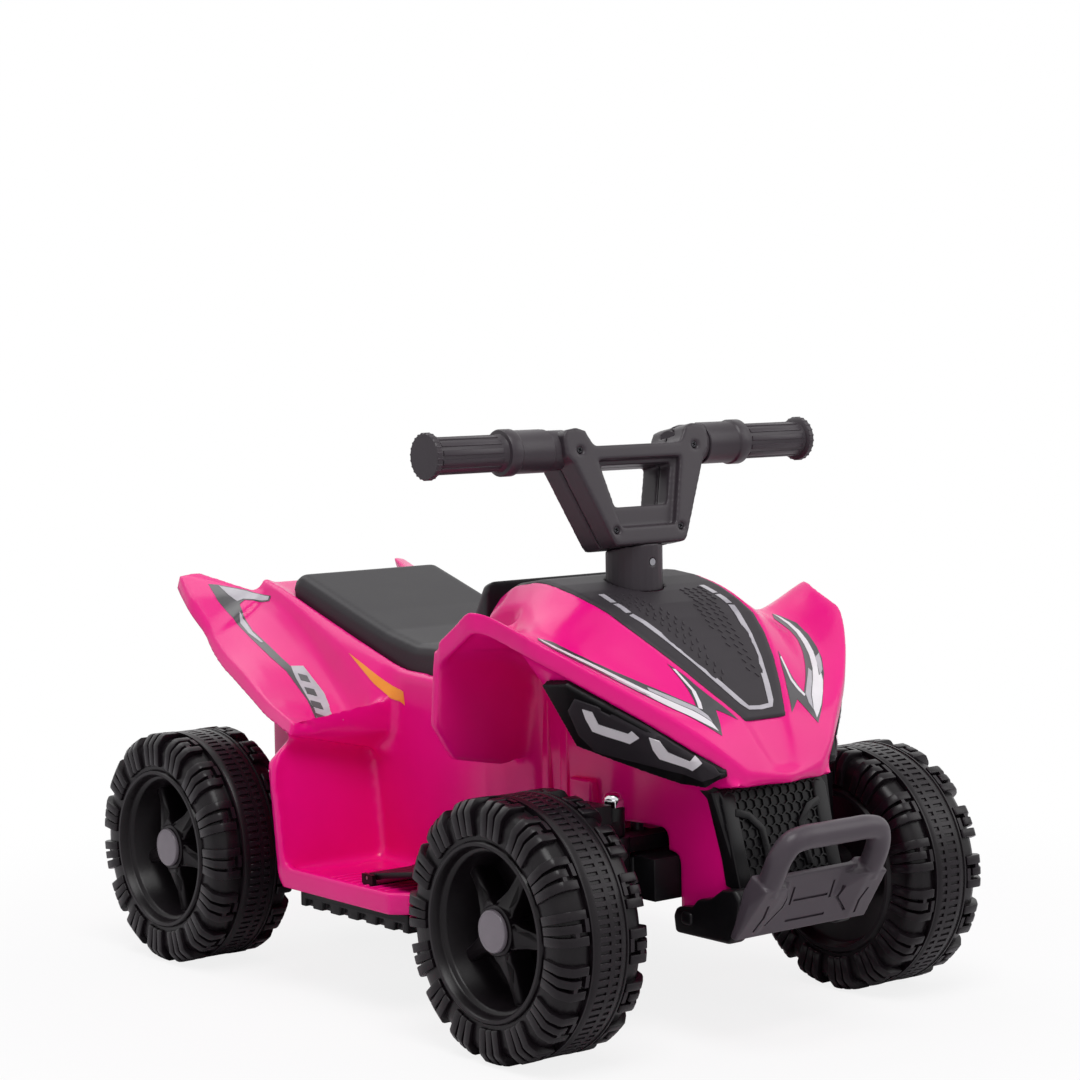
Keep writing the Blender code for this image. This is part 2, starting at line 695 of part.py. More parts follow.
def make_body_shell():
    """The pink body: the cross-sections with guards, boards, panels and tips, hollowed and opened."""
    stations = body_stations()
    body = show("body_shell", loft([station.ring() for station in stations]), pink_body())
    join(body, nose_tip())
    for side in (1, -1):
        join(body, splash_guard(side), foot_board(side), back_panel(side), wing_tip(side))
    hollow = [s for s in stations if -0.052 < s.along or s.place is rear]
    rings = []
    for station in hollow[:-1]:
        steep = station.place is front and 0.140 < station.along < 0.155
        column = station.place is front and 0.040 < station.along < 0.105
        rings.append(station.cavity_ring(0.030 if steep else 0.020 if column else 0.014))
    cut(body, loft(rings))
    cut(body, front_slant())
    cut(body, block(front(-0.08, -0.12, BODY_FLOOR - 0.01), front(0.08, -0.056, BODY_FLOOR + FRONT_EDGE)))
    for side in (1, -1):
        cut(body, foot_well(side))
    cut(body, seat_solid(GAP))
    cut(body, *axle_notches())
    cut(body, rod(front(0, COLUMN_U, 0.15), front(0, COLUMN_U, 0.26), BUSH_RADIUS + GAP))
    cut(body, rod(front(0, COLUMN_U, NECK_SEAT), front(0, COLUMN_U, 0.28), NECK_RADIUS + RUNNING_GAP, 24))
    cut(body, rod(rear(-0.12, 0, 0), rear(0.12, 0, 0), AXLE_RADIUS + GAP))
    cut(body, motor_hole())
    bezel_low, bezel_high = switch_opening()
    cut(body, block(bezel_low, bezel_high))
    cut(body, rod(rear(TRUNK_HALF - 0.02, SOCKET_W, SOCKET_H), rear(TRUNK_HALF + 0.01, SOCKET_W, SOCKET_H),
                  SOCKET_RADIUS + GAP))
    return body


def axle_notches():
    """The two steps of the opening under the body that the front axle and the steering work in."""
    floor, back = AXLE_Z + BODY_FLOOR - 0.02, FRONT_AXLE_Y + NOTCH_BACK
    low = block((-0.12, FRONT_AXLE_Y - NOTCH_FRONT, floor), (0.12, back, AXLE_Z + BLOCK_TOP + 0.002))
    high = block((-0.12, FRONT_AXLE_Y - NOTCH_STEP, floor), (0.12, back - 0.0004, AXLE_Z + EYE_TOP + 0.004))
    return low, high


def cover_ring(x, h, place, along, thickness=COVER_THICKNESS):
    """The hood cover's cross-section: a sheet with its edges turned under a little."""
    half = [place(x - 0.004, along, h), place(x - GAP, along, h - 0.0015),
            place(x - GAP, along, h - thickness)]
    return both_sides(half)


def make_hood_cover():
    """The black strip along the hood, with a hole for the neck."""
    rings = []
    for station in body_stations():
        if station.place is rear or station.along > 0.155 or station.along < -0.0705:
            continue
        x, h = station.cover
        rings.append(cover_ring(x, h, station.place, station.along))
    cover = show("hood_cover", loft(rings), black_plastic())
    return cut(cover, rod(front(0, COLUMN_U, 0.15), front(0, COLUMN_U, 0.28), NECK_RADIUS + RUNNING_GAP, 24))


def make_column_bush():
    """The nylon bush in the body's roof, with a flange that the neck turns on."""
    bore = COLUMN_RADIUS + GAP
    low, seat = NECK_SEAT - 0.012, NECK_SEAT + GAP
    profile = [(bore, low), (BUSH_RADIUS, low), (BUSH_RADIUS, seat), (BUSH_RADIUS + 0.004, seat),
               (BUSH_RADIUS + 0.004, seat + BUSH_FLANGE), (bore, seat + BUSH_FLANGE)]
    show("column_bush", turned(profile, front(0, COLUMN_U, 0), (0, 0, 1), SMALL_STEPS), nylon())


def headlight_rings(side, inset, outset):
    """Rings of a panel that lies on the slope under a fender ridge, between two heights off that slope."""
    rings = []
    for station in body_stations():
        if station.place is rear or not -0.0860 < station.along < 0.0150:
            continue
        points = station.fender_points()
        top, foot = points[3], points[4]
        down = (foot - top).normalized()
        out = Vector((-down.z, 0, down.x))
        out = out if out.x > 0 else -out
        length = (foot - top).length
        start = HEADLIGHT_CORNER if station.along > 0 else 0.02
        near, far = top + down * (length * start), top + down * (length * 0.98)
        ring = [near + out * inset, near + out * outset, far + out * outset, far + out * inset]
        rings.append(mirrored(ring, side))
    return rings


def make_headlights():
    """The two black panels under the front fender ridges."""
    for side, name in ((-1, "right"), (1, "left")):
        show(f"headlight_panel_{name}", loft(headlight_rings(side, GAP, HEADLIGHT_THICKNESS)),
             black_plastic())


def make_grille():
    """The sloping panel below the nose."""
    outline = [(-0.048, 0.034), (0.048, 0.034), (0.052, 0.060), (0.058, 0.107), (-0.058, 0.107),
               (-0.052, 0.060)]
    made = prism(outline, 0.0, GRILLE_THICKNESS, "Y")
    return show("grille", bevelled(slanted(made, grille_frame()), 0.0012), black_plastic())


def make_front_bumper():
    """The bumper: a plate, a loop of tube over it and a cheek back along each side."""
    plate = []
    outline = [(0.0650, -0.1056, -0.0102), (0.0640, -0.1170, 0.0175), (0.0590, -0.1239, 0.0342)]
    for x, u, h in outline:
        plate += [front(x, u, h), front(-x, u, h)]
    back = [point + Vector((0, BUMPER_PLATE_THICKNESS, 0.002)) for point in plate]
    bumper = show("front_bumper", hull(plate + back), charcoal_plastic())
    loop = [(0.0500, -0.1140, 0.0150), (0.0500, -0.1318, 0.0417), (0.0478, -0.1369, 0.0542),
            (0.0390, -0.1413, 0.0648)]
    path = [front(*point) for point in loop] + [front(-x, u, h) for x, u, h in reversed(loop)]
    join(bumper, tube_along(path, BUMPER_TUBE_RADIUS))
    for side in (1, -1):
        corners = [front(x * side, u, h) for x, u in ((0.0505 + GAP, -0.1050), (0.0645, -0.1050),
                                                      (0.0505 + GAP, -0.058),
                   (0.062, -0.062)) for h in (-0.0120, 0.0075)]
        join(bumper, hull(corners))
    return bumper


def make_chassis_tray():
    """The black underbody: a floor under the trunk and a sill under each board."""
    floor_front = front(0, BOARD_FRONT - 0.005, 0).y
    floor = block((-0.070, floor_front, AXLE_Z + TRAY_BOTTOM),
                  (0.070, REAR_AXLE_Y + 0.026, AXLE_Z + TRAY_TOP))
    tray = show("chassis_tray", floor, black_plastic())
    edge = HALF_WIDTH - SILL_INSET
    start, stop = front(0, BOARD_FRONT + 0.006, 0).y, rear(0, BOARD_BACK - 0.004, 0).y
    for side in (1, -1):
        sill = block((0.065, start, AXLE_Z + TRAY_BOTTOM), (edge, stop, AXLE_Z + TRAY_TOP))
        pad = block((edge - 0.012, start, AXLE_Z + TRAY_TOP - 0.002),
                    (edge, stop, AXLE_Z + BOARD_BOTTOM - GAP))
        join(tray, on_side(sill, side), on_side(pad, side))
        for notch in range(SILL_NOTCHES):
            middle = start + (stop - start) * (notch + 0.5) / SILL_NOTCHES
            low = Vector((edge - 0.004, middle - 0.005, AXLE_Z + TRAY_BOTTOM - 0.002))
            high = Vector((edge + 0.004, middle + 0.005, AXLE_Z + TRAY_TOP - 0.004))
            cut(tray, on_side(block(low, high), side))
        lug = block((0.048, REAR_AXLE_Y - 0.012, AXLE_Z + TRAY_TOP - 0.002),
                    (0.060, REAR_AXLE_Y + 0.012, AXLE_Z + 0.012))
        join(tray, on_side(lug, side))
    return cut(tray, rod(rear(-0.1, 0, 0), rear(0.1, 0, 0), AXLE_RADIUS + GAP))


def make_front_axle_beam():
    """The crossmember: two bars, an eye round each kingpin, a seat on the body and a lug for the column."""
    y = FRONT_AXLE_Y
    seat = block((-0.0745, y - NOTCH_FRONT + GAP, AXLE_Z + EYE_BOTTOM),
                 (0.0745, y + 0.013, AXLE_Z + BLOCK_TOP))
    beam = show("front_axle_beam", seat, black_plastic())
    join(beam, block((-KINGPIN_X, y - 0.008, AXLE_Z + EYE_BOTTOM + 0.001),
                     (KINGPIN_X, y + 0.008, AXLE_Z + BLOCK_TOP - 0.001)))
    join(beam, block((-KINGPIN_X, y - 0.009, AXLE_Z + BLOCK_TOP + 0.003),
                     (KINGPIN_X, y + 0.009, AXLE_Z + EYE_TOP - 0.001)))
    for side in (1, -1):
        x = side * KINGPIN_X
        join(beam, rod(front(x, 0, EYE_BOTTOM), front(x, 0, EYE_TOP), EYE_RADIUS, 20))
    lug_low = COLUMN_FOOT + CRANK_THICKNESS + RUNNING_GAP
    join(beam, block((-0.014, y + 0.005, AXLE_Z + lug_low),
                     (0.014, y + COLUMN_U + 0.014, AXLE_Z + lug_low + 0.014)))
    for side in (1, -1):
        x = side * KINGPIN_X
        cut(beam, rod(front(x, 0, EYE_BOTTOM - 0.01), front(x, 0, EYE_TOP + 0.01), KINGPIN_RADIUS + GAP))
    return cut(beam, rod(front(0, COLUMN_U, -0.03), front(0, COLUMN_U, 0.08), COLUMN_RADIUS + GAP))


def make_knuckle(side, name):
    """A steering knuckle on its kingpin, with the stub axle that carries the wheel."""
    pivot = front(side * KINGPIN_X, 0, 0)
    inner, outer = KINGPIN_X + EYE_RADIUS + 0.0015, WHEEL_INNER_X - 0.007

    def box(x_low, x_high, u_low, u_high, h_low, h_high):
        """A block between two corners given for the +X side."""
        return on_side(block(front(x_low, u_low, h_low), front(x_high, u_high, h_high)), side)

    arm_bottom = TIE_ROD_BOTTOM - RUNNING_GAP - 0.0105
    knuckle = show(f"steering_knuckle_{name}", box(inner, outer, -0.014, 0.014, -0.020, 0.080),
                   black_plastic(), pivot)
    local = Matrix.Translation(-pivot)
    upper = box(KINGPIN_X - 0.002, inner + 0.002, -0.008, 0.008, EYE_TOP + RUNNING_GAP, EYE_TOP + 0.012)
    lower = box(KINGPIN_X - 0.002, inner + 0.002, -0.008, 0.008, -0.020, EYE_BOTTOM - RUNNING_GAP)
    sleeve = rod(front(side * KINGPIN_X, 0, EYE_TOP + RUNNING_GAP), front(side * KINGPIN_X, 0, SLEEVE_TOP),
                 SLEEVE_RADIUS)
    heel = rod(front(side * KINGPIN_X, 0, -0.022), front(side * KINGPIN_X, 0, EYE_BOTTOM - RUNNING_GAP),
               SLEEVE_RADIUS)
    arm_top = TIE_ROD_BOTTOM - RUNNING_GAP
    arm = box(KINGPIN_X - 0.007, KINGPIN_X + 0.007, EYE_RADIUS + 0.006, STEER_ARM + 0.008, arm_bottom,
              arm_top)
    root = box(KINGPIN_X - 0.0068, KINGPIN_X + 0.0068, 0.002, EYE_RADIUS + 0.008, arm_bottom + 0.0002,
               EYE_BOTTOM - RUNNING_GAP)
    for shape in (upper, lower, sleeve, heel, root, arm):
        join(knuckle, shape)
    pin_hole = rod(front(side * KINGPIN_X, STEER_ARM, -0.03), front(side * KINGPIN_X, STEER_ARM, 0.02),
                   TIE_PIN_RADIUS + GAP)
    cut(knuckle, rod(front(side * KINGPIN_X, 0, -0.04), front(side * KINGPIN_X, 0, 0.09), KINGPIN_RADIUS
                     + GAP))
    cut(knuckle, rod(front(side * inner * 0.98, 0, 0), front(side * (outer + 0.01), 0, 0), AXLE_RADIUS + GAP))
    cut(knuckle, pin_hole)
    stub_start, stub_end = inner + 0.002, HALF_WIDTH - AXLE_END_INSET
    show(f"stub_axle_{name}", rod(front(side * stub_start, 0, 0), front(side * stub_end, 0, 0), AXLE_RADIUS),
         zinc_steel(), pivot)
    head = -0.022 - GAP
    top = SLEEVE_TOP + 0.009
    profile = [(0, head - 0.004), (0.0070, head - 0.004), (0.0070, head), (KINGPIN_RADIUS, head),
               (KINGPIN_RADIUS, top), (0, top)]
    show(f"kingpin_{name}", turned(profile, pivot, (0, 0, 1), SMALL_STEPS), zinc_steel(), pivot)
    foot, bore = SLEEVE_TOP + GAP, KINGPIN_RADIUS + GAP
    dome = [(bore, foot), (0.0085, foot), (0.0085, foot + 0.0012), (0.0058, foot + 0.0014),
            (0.0058, foot + 0.0060), (0.0050, foot + 0.0085), (0.0030, foot + 0.0104), (0, foot + 0.0110),
            (0, foot + 0.0092), (bore, foot + 0.0092)]
    show(f"kingpin_nut_{name}", turned(dome, pivot, (0, 0, 1), SMALL_STEPS), chrome(), pivot)


def wheel_profile():
    """The wheel's section as (radius, along), with along positive towards its outer face."""
    face = WHEEL_WIDTH / 2
    radius = WHEEL_RADIUS
    return [
        (0, face - HUB_FACE_INSET), (HUB_RADIUS, face - HUB_FACE_INSET),
        (HUB_RADIUS + 0.001, face - DISH_DEPTH),
        (RIM_RADIUS - 0.009, face - DISH_DEPTH), (RIM_RADIUS - 0.005, face - 0.010), (RIM_RADIUS,
                                                                                      face - 0.0005),
        (RIM_RADIUS + 0.004, face), (radius - 0.016, face), (radius - 0.006, face - 0.0035), (radius,
                                                                                              face - 0.014),
        (radius, 0.014 - face), (radius - 0.006, 0.0035 - face), (radius - 0.016, -face), (RIM_RADIUS, -face),
        (RIM_RADIUS - 0.005, 0.0095 - face), (HUB_RADIUS + 0.001, 0.0095 - face), (HUB_RADIUS - 0.003, -face),
        (0, -face),
    ]


def spoke_star(centre, side):
    """Five tapered spokes as one solid, laid in the wheel's dish."""
    outline = []
    for spoke in range(SPOKES):
        middle = math.pi / 2 + math.tau * spoke / SPOKES
        for radius, offset in ((HUB_RADIUS - 0.001, -0.5), (RIM_RADIUS - 0.006, -0.5),
                               (RIM_RADIUS - 0.006, 0.5), (HUB_RADIUS - 0.001, 0.5)):
            width = SPOKE_TIP_WIDTH if radius > 0.03 else SPOKE_ROOT_WIDTH
            turn = middle + offset * width / radius
            outline.append((centre.y + radius * math.cos(turn), centre.z + radius * math.sin(turn)))
    face = WHEEL_WIDTH / 2
    ends = sorted(centre.x + side * a for a in (face - DISH_DEPTH - 0.002, face - 0.017))
    return prism(outline, ends[0], ends[1], "X")


def make_wheel(side, centre, name):
    """One wheel with its hub cap and axle nut."""
    along = (side, 0, 0)
    solid = flat_sided(turned(wheel_profile(), centre, along, ROUND_STEPS), centre, along, ROUND_STEPS)
    wheel = show(f"wheel_{name}", solid, black_plastic(), centre)
    join(wheel, spoke_star(centre, side))
    hub_face = WHEEL_WIDTH / 2 - HUB_FACE_INSET
    bore, pocket_floor = AXLE_RADIUS + GAP, hub_face - HUB_POCKET_DEPTH
    pocket = [(0, -0.05), (bore, -0.05), (bore, pocket_floor), (HUB_POCKET_RADIUS, pocket_floor),
              (HUB_POCKET_RADIUS, 0.05), (0, 0.05)]
    cut(wheel, turned(pocket, centre, along, 24))
    plug = HUB_POCKET_RADIUS - GAP
    start = hub_face - 0.0035
    profile = [(0, start), (plug, start), (plug, hub_face + GAP), (HUB_CAP_RADIUS, hub_face + GAP),
               (HUB_CAP_RADIUS, hub_face + HUB_CAP_THICKNESS), (HUB_CAP_RADIUS - 0.0008, hub_face
                                                                + HUB_CAP_THICKNESS + 0.0006),
               (0, hub_face + HUB_CAP_THICKNESS + 0.0006)]
    show(f"hub_cap_{name}", turned(profile, centre, along, 24), grey_plastic(), centre)
    foot = pocket_floor + GAP
    bore = AXLE_RADIUS + RUNNING_GAP
    nut = [(bore, foot), (NUT_RADIUS, foot), (NUT_RADIUS, foot + NUT_HEIGHT), (bore, foot + NUT_HEIGHT)]
    show(f"axle_nut_{name}", turned(nut, centre, along, 12), zinc_steel(), centre)


def make_wheels():
    """The four wheels and the rear axle."""
    for side, side_name in ((-1, "right"), (1, "left")):
        make_wheel(side, front(side * WHEEL_X, 0, 0), f"front_{side_name}")
        make_wheel(side, rear(side * WHEEL_X, 0, 0), f"rear_{side_name}")
    end = HALF_WIDTH - AXLE_END_INSET
    show("rear_axle", rod(rear(-end, 0, 0), rear(end, 0, 0), AXLE_RADIUS), zinc_steel())


def make_steering_column():
    """The steel column: a rod with a crank at its foot that turns in the tie rod."""
    foot, top = COLUMN_FOOT, BLOCK_BOTTOM + 0.030
    origin = front(0, COLUMN_U, 0)
    column = show("steering_column", rod(front(0, COLUMN_U, foot), front(0, COLUMN_U, top), COLUMN_RADIUS),
                  zinc_steel(), origin)
    crank = block(front(-0.006, COLUMN_U - 0.006, foot),
                  front(0.006, COLUMN_U + STEER_ARM + 0.006, foot + CRANK_THICKNESS))
    pin = rod(front(0, COLUMN_U + STEER_ARM, TIE_ROD_BOTTOM - 0.002),
              front(0, COLUMN_U + STEER_ARM, foot + 0.002), TIE_PIN_RADIUS)
    return join(column, crank, pin)


def make_tie_rod():
    """The flat link between the knuckles' arms, with a tongue back to the column's crank."""
    low, high = TIE_ROD_BOTTOM, TIE_ROD_BOTTOM + TIE_ROD_THICKNESS
    half = TIE_ROD_WIDTH / 2
    origin = front(-KINGPIN_X, STEER_ARM, 0)
    bar = block(front(-KINGPIN_X - half, STEER_ARM - half, low),
                front(KINGPIN_X + half, STEER_ARM + half, high))
    tie = show("tie_rod", bar, zinc_steel(), origin)
    tongue = block(front(-half, STEER_ARM, low), front(half, COLUMN_U + STEER_ARM + half, high))
    join(tie, tongue)
    for side in (1, -1):
        x = side * KINGPIN_X
        join(tie, rod(front(x, STEER_ARM, TIE_ROD_BOTTOM - 0.012), front(x, STEER_ARM, low + 0.001),
                      TIE_PIN_RADIUS))
    hole = rod(front(0, COLUMN_U + STEER_ARM, low - 0.01), front(0, COLUMN_U + STEER_ARM, high + 0.01),
               TIE_PIN_RADIUS + 2 * GAP)
    return cut(tie, hole)


def bar_frame():
    """A matrix from the handlebar block's own frame, x across, y back and z up its rake, to the car."""
    return Matrix.Translation(front(0, COLUMN_U - 0.002, BLOCK_BOTTOM)) @ Matrix.Rotation(-BLOCK_RAKE, 4, "X")


def block_outline():
    """Half of the handlebar block's front view, as (x, up) from the bottom to the top."""
    side, top = BLOCK_TOP_HALF, BLOCK_HEIGHT
    return [(BLOCK_BOTTOM_HALF - 0.003, 0), (BLOCK_BOTTOM_HALF, 0.004), (side - 0.0065, top - 0.021),
            (side - 0.001, top - 0.016), (side, top - 0.010), (side, top), (side - 0.003, top + 0.0040),
            (side - 0.014, top + 0.0055), (side - 0.022, top + 0.0030), (side - 0.0265, CROSSBAR_TOP + 0.004),
            (side - 0.0300, CROSSBAR_TOP)]


def make_handlebar():
    """The block in two half shells round the tube, held by four screws, on a neck sleeve."""
    frame = bar_frame()
    origin = front(0, COLUMN_U, 0)
    half = block_outline()
    outline = half + [(-x, z) for x, z in reversed(half)]
    window = [(-0.026, 0.030), (0.026, 0.030), (0.035, 0.062), (-0.035, 0.062)]
    recess = [(-0.027, 0.014), (0.027, 0.014), (0.041, 0.066), (-0.041, 0.066)]
    screws = [(0.0574, BLOCK_HEIGHT - 0.012), (-0.0574, BLOCK_HEIGHT - 0.012), (0.0323, 0.0118),
              (-0.0323, 0.0118)]
    depth = BLOCK_DEPTH / 2
    column_hole = rod(front(0, COLUMN_U, 0.2), front(0, COLUMN_U, BLOCK_BOTTOM + 0.031), COLUMN_RADIUS + GAP)
    inner, outer = BAR_INNER_X, HALF_WIDTH - BAR_END_INSET
    for name, low, high in (("front", -depth, -GAP / 2), ("rear", GAP / 2, depth)):
        shell = show(f"handlebar_{name}_shell", slanted(prism(outline, low, high, "Y"), frame),
                     charcoal_plastic(), origin)
        cut(shell, slanted(prism(window, -0.05, 0.05, "Y"), frame), column_hole.copy())
        for side in (1, -1):
            cut(shell, slanted(bar_rod(side * (inner - GAP), side * 0.1, BAR_RADIUS + GAP), frame))
        if name == "front":
            cut(shell, slanted(prism(recess, low - 0.01, low + 0.006, "Y"), frame))
        for x, z in screws:
            if name == "front":
                cut(shell, slanted(screw_hole(x, z, low, high), frame))
            else:
                cut(shell, slanted(rod((x, low - 0.01, z), (x, low + 0.012, z), SCREW_RADIUS + GAP, 12), frame))
    column_hole.free()
    names = ("upper_left", "upper_right", "lower_left", "lower_right")
    for (x, z), name in zip(screws, names):
        head, start = SCREW_HEAD_RADIUS, -depth + 0.004 - GAP
        profile = [(0, 0), (SCREW_RADIUS, 0), (SCREW_RADIUS, SCREW_LENGTH), (head, SCREW_LENGTH),
                   (head, SCREW_LENGTH + 0.0022), (0, SCREW_LENGTH + 0.0022)]
        made = turned(profile, (x, start + SCREW_LENGTH, z), (0, -1, 0), 12)
        show(f"handlebar_screw_{name}", slanted(made, frame), zinc_steel(), origin)
    for side, name in ((-1, "right"), (1, "left")):
        tube = show(f"handlebar_tube_{name}", slanted(bar_rod(side * inner, side * outer, BAR_RADIUS), frame),
                    charcoal_plastic(), origin)
        x, z = side * screws[0][0], screws[0][1]
        cut(tube, slanted(rod((x, -0.03, z), (x, 0.03, z), SCREW_RADIUS + GAP, 12), frame))
    make_neck(origin)


def screw_hole(x, z, low, high):
    """A screw's clearance hole with its counterbore from the front, in the block's own frame."""
    head, shank, end = SCREW_HEAD_RADIUS + GAP, SCREW_RADIUS + GAP, high - low + 0.01
    profile = [(0, -0.01), (head, -0.01), (head, 0.004), (shank, 0.004), (shank, end), (0, end)]
    return turned(profile, (x, low, z), (0, 1, 0), 12)


def bar_rod(start, stop, radius):
    """A length of the handlebar's tube, in the block's own frame."""
    return rod((start, 0, BAR_LIFT), (stop, 0, BAR_LIFT), radius, 20)


def make_neck(origin):
    """The sleeve between the hood and the block, cut to the block's rake, with its screw."""
    neck_top = BLOCK_BOTTOM + 0.008
    bore = COLUMN_RADIUS + GAP
    profile = [(bore, NECK_BOTTOM), (NECK_RADIUS, NECK_BOTTOM), (NECK_RADIUS, neck_top), (bore, neck_top)]
    neck = show("steering_neck", turned(profile, origin, (0, 0, 1), 24), charcoal_plastic(), origin)
    cut(neck, slanted(block((-0.05, -0.05, -GAP), (0.05, 0.05, 0.05)), bar_frame()))
    height = NECK_BOTTOM + 0.0225
    way = Vector((0, -1, 0))
    centre = front(0, COLUMN_U, height)
    cut(neck, rod(centre, centre + way * 0.03, SCREW_RADIUS + GAP, 12),
        rod(centre + way * (NECK_RADIUS - 0.003), centre + way * 0.03, SCREW_HEAD_RADIUS + GAP, 12))
    start = COLUMN_RADIUS + GAP
    stop = NECK_RADIUS - 0.003 + GAP
    screw = [(0, start), (SCREW_RADIUS, start), (SCREW_RADIUS, stop), (SCREW_HEAD_RADIUS, stop),
             (SCREW_HEAD_RADIUS, stop + 0.0024), (0, stop + 0.0024)]
    show("neck_screw", turned(screw, centre, way, 12), chrome(), origin)


def make_grips():
    """The two grips, each with its collar and end flange."""
    frame = bar_frame()
    origin = front(0, COLUMN_U, 0)
    end = HALF_WIDTH - GRIP_END_INSET
    collar_end = COLLAR_INNER_X + COLLAR_LENGTH
    bore, bore_end = BAR_RADIUS + GAP, HALF_WIDTH - BAR_END_INSET + GAP
    for side, name in ((-1, "right"), (1, "left")):
        profile = [(bore, COLLAR_INNER_X), (COLLAR_RADIUS, COLLAR_INNER_X), (COLLAR_RADIUS, collar_end),
                   (GRIP_RADIUS, collar_end + 0.003), (GRIP_RADIUS, end - 0.005), (GRIP_FLANGE_RADIUS,
                                                                                   end - 0.004),
                   (GRIP_FLANGE_RADIUS, end), (0, end), (0, bore_end), (bore, bore_end)]
        made = turned(profile, (0, 0, BAR_LIFT), (side, 0, 0), 20)
        show(f"grip_{name}", slanted(made, frame), charcoal_plastic(), origin)


def gear_outline(teeth, module, phase):
    """A toothed wheel's outline, with a tooth centred on the phase angle."""
    pitch = module * teeth / 2
    tip, root = pitch + 0.9 * module, pitch - 1.25 * module
    points = []
    for tooth in range(teeth):
        middle = phase + math.tau * tooth / teeth
        for radius, share in ((root, -0.30), (tip, -0.13), (tip, 0.13), (root, 0.30)):
            turn = middle + share * math.tau / teeth
            points.append((radius * math.cos(turn), radius * math.sin(turn)))
    return points


def gear(teeth, module, phase, centre, low, high):
    """A spur gear about a centre, between two places along X."""
    outline = [(centre.y + a, centre.z + b) for a, b in gear_outline(teeth, module, phase)]
    return prism(outline, low, high, "X")


def gear_centres():
    """Where the drive gear, the idler and the motor pinion turn, in the plane of the wheels' sides."""
    drive = rear(0, 0, 0)
    reach = DRIVE_RADIUS + IDLER_SMALL_RADIUS + GEAR_BACKLASH
    idler = drive + Vector((0, reach * math.cos(IDLER_TURN), reach * math.sin(IDLER_TURN)))
    reach = IDLER_LARGE_RADIUS + PINION_RADIUS + GEAR_BACKLASH
    motor = idler + Vector((0, reach * math.cos(MOTOR_TURN), reach * math.sin(MOTOR_TURN)))
    return drive, idler, motor


def gearbox_outline(grow):
    """The gearbox's outline: round each gear with the straight tangents between them."""
    drive, idler, motor = gear_centres()
    made = bmesh.new()
    for centre, radius in ((drive, DRIVE_RADIUS), (idler, IDLER_LARGE_RADIUS),
                           (motor, PINION_RADIUS + 0.006)):
        for k in range(20):
            turn = math.tau * k / 20
            reach = radius + 0.003 + grow
            for x in (0, 1):
                made.verts.new((x, centre.y + reach * math.cos(turn), centre.z + reach * math.sin(turn)))
    bmesh.ops.convex_hull(made, input=made.verts[:])
    points = [vert.co.copy() for vert in made.verts if vert.link_faces and vert.co.x < 0.5]
    made.free()
    middle = sum(points, Vector()) / len(points)
    points.sort(key=lambda p: math.atan2(p.z - middle.z, p.y - middle.y))
    return [(p.y, p.z) for p in points]


def make_gearbox():
    """The gearbox: housing, cover, idler shaft, gears and motor."""
    drive, idler, motor = gear_centres()
    low, high = GEARBOX_IN, GEARBOX_OUT - COVER_PLATE
    housing = show("gearbox_housing", prism(gearbox_outline(GEARBOX_WALL), low, high - GAP, "X"),
                   black_plastic())
    cut(housing, prism(gearbox_outline(0), low + GEARBOX_FLOOR, high + 0.01, "X"))

    def across(centre, start, stop, radius, steps=SMALL_STEPS):
        """A round bar along X through a gear's centre."""
        return rod((start, centre.y, centre.z), (stop, centre.y, centre.z), radius, steps)

    cut(housing, across(drive, low - 0.01, high + 0.01, AXLE_RADIUS + GAP),
        across(idler, low + 0.001, high + 0.01, IDLER_SHAFT_RADIUS + GAP),
        across(motor, low - 0.01, high + 0.01, 0.0045))
    cover = show("gearbox_cover", prism(gearbox_outline(GEARBOX_WALL), high, GEARBOX_OUT, "X"),
                 black_plastic())
    cut(cover, across(drive, high - 0.01, GEARBOX_OUT + 0.01, 0.0130 + RUNNING_GAP),
        across(idler, high - 0.01, GEARBOX_OUT + 0.01, IDLER_SHAFT_RADIUS + GAP))
    show("idler_shaft", across(idler, low + 0.001 + GAP, GEARBOX_OUT - GAP, IDLER_SHAFT_RADIUS), zinc_steel())
    make_gears(drive, idler, motor, high)
    make_motor(motor, low, high - 0.0115)


def make_gears(drive, idler, motor, high):
    """The three gears, with a tooth of each small one in a gap of the large one that it turns in."""
    coarse = (high - 0.0105, high - 0.0025)
    fine = (coarse[0] - 0.0090, coarse[0] - 0.0015)
    to_idler, to_motor = IDLER_TURN, MOTOR_TURN
    drive_gear = show("drive_gear", gear(DRIVE_TEETH, GEAR_MODULE, to_idler + math.pi / DRIVE_TEETH, drive,
                                         *coarse),
                      nylon(), rear(WHEEL_X, 0, 0))
    hub = rod((coarse[0] + 0.001, drive.y, drive.z), (WHEEL_INNER_X - GAP, drive.y, drive.z), 0.0130, 20)
    join(drive_gear, hub)
    cut(drive_gear, rod((0.05, drive.y, drive.z), (0.2, drive.y, drive.z), AXLE_RADIUS + GAP))
    centre = Vector((fine[0], idler.y, idler.z))
    idler_gear = show("idler_gear", gear(WHEEL_TEETH, FINE_MODULE, to_motor + math.pi / WHEEL_TEETH, idler,
                                         *fine),
                      nylon(), centre)
    join(idler_gear, gear(PINION_TEETH, GEAR_MODULE, to_idler + math.pi, idler, fine[1] - 0.002, coarse[1]))
    cut(idler_gear, rod((0.05, idler.y, idler.z), (0.2, idler.y, idler.z), IDLER_SHAFT_RADIUS + GAP))
    pinion_centre = Vector((fine[0], motor.y, motor.z))
    pinion = show("motor_pinion", gear(PINION_TEETH, FINE_MODULE, to_motor + math.pi, motor, fine[0] - 0.0005,
                                       fine[1]),
                  zinc_steel(), pinion_centre)
    cut(pinion, rod((0.05, motor.y, motor.z), (0.2, motor.y, motor.z), MOTOR_SHAFT_RADIUS + GAP, 12))


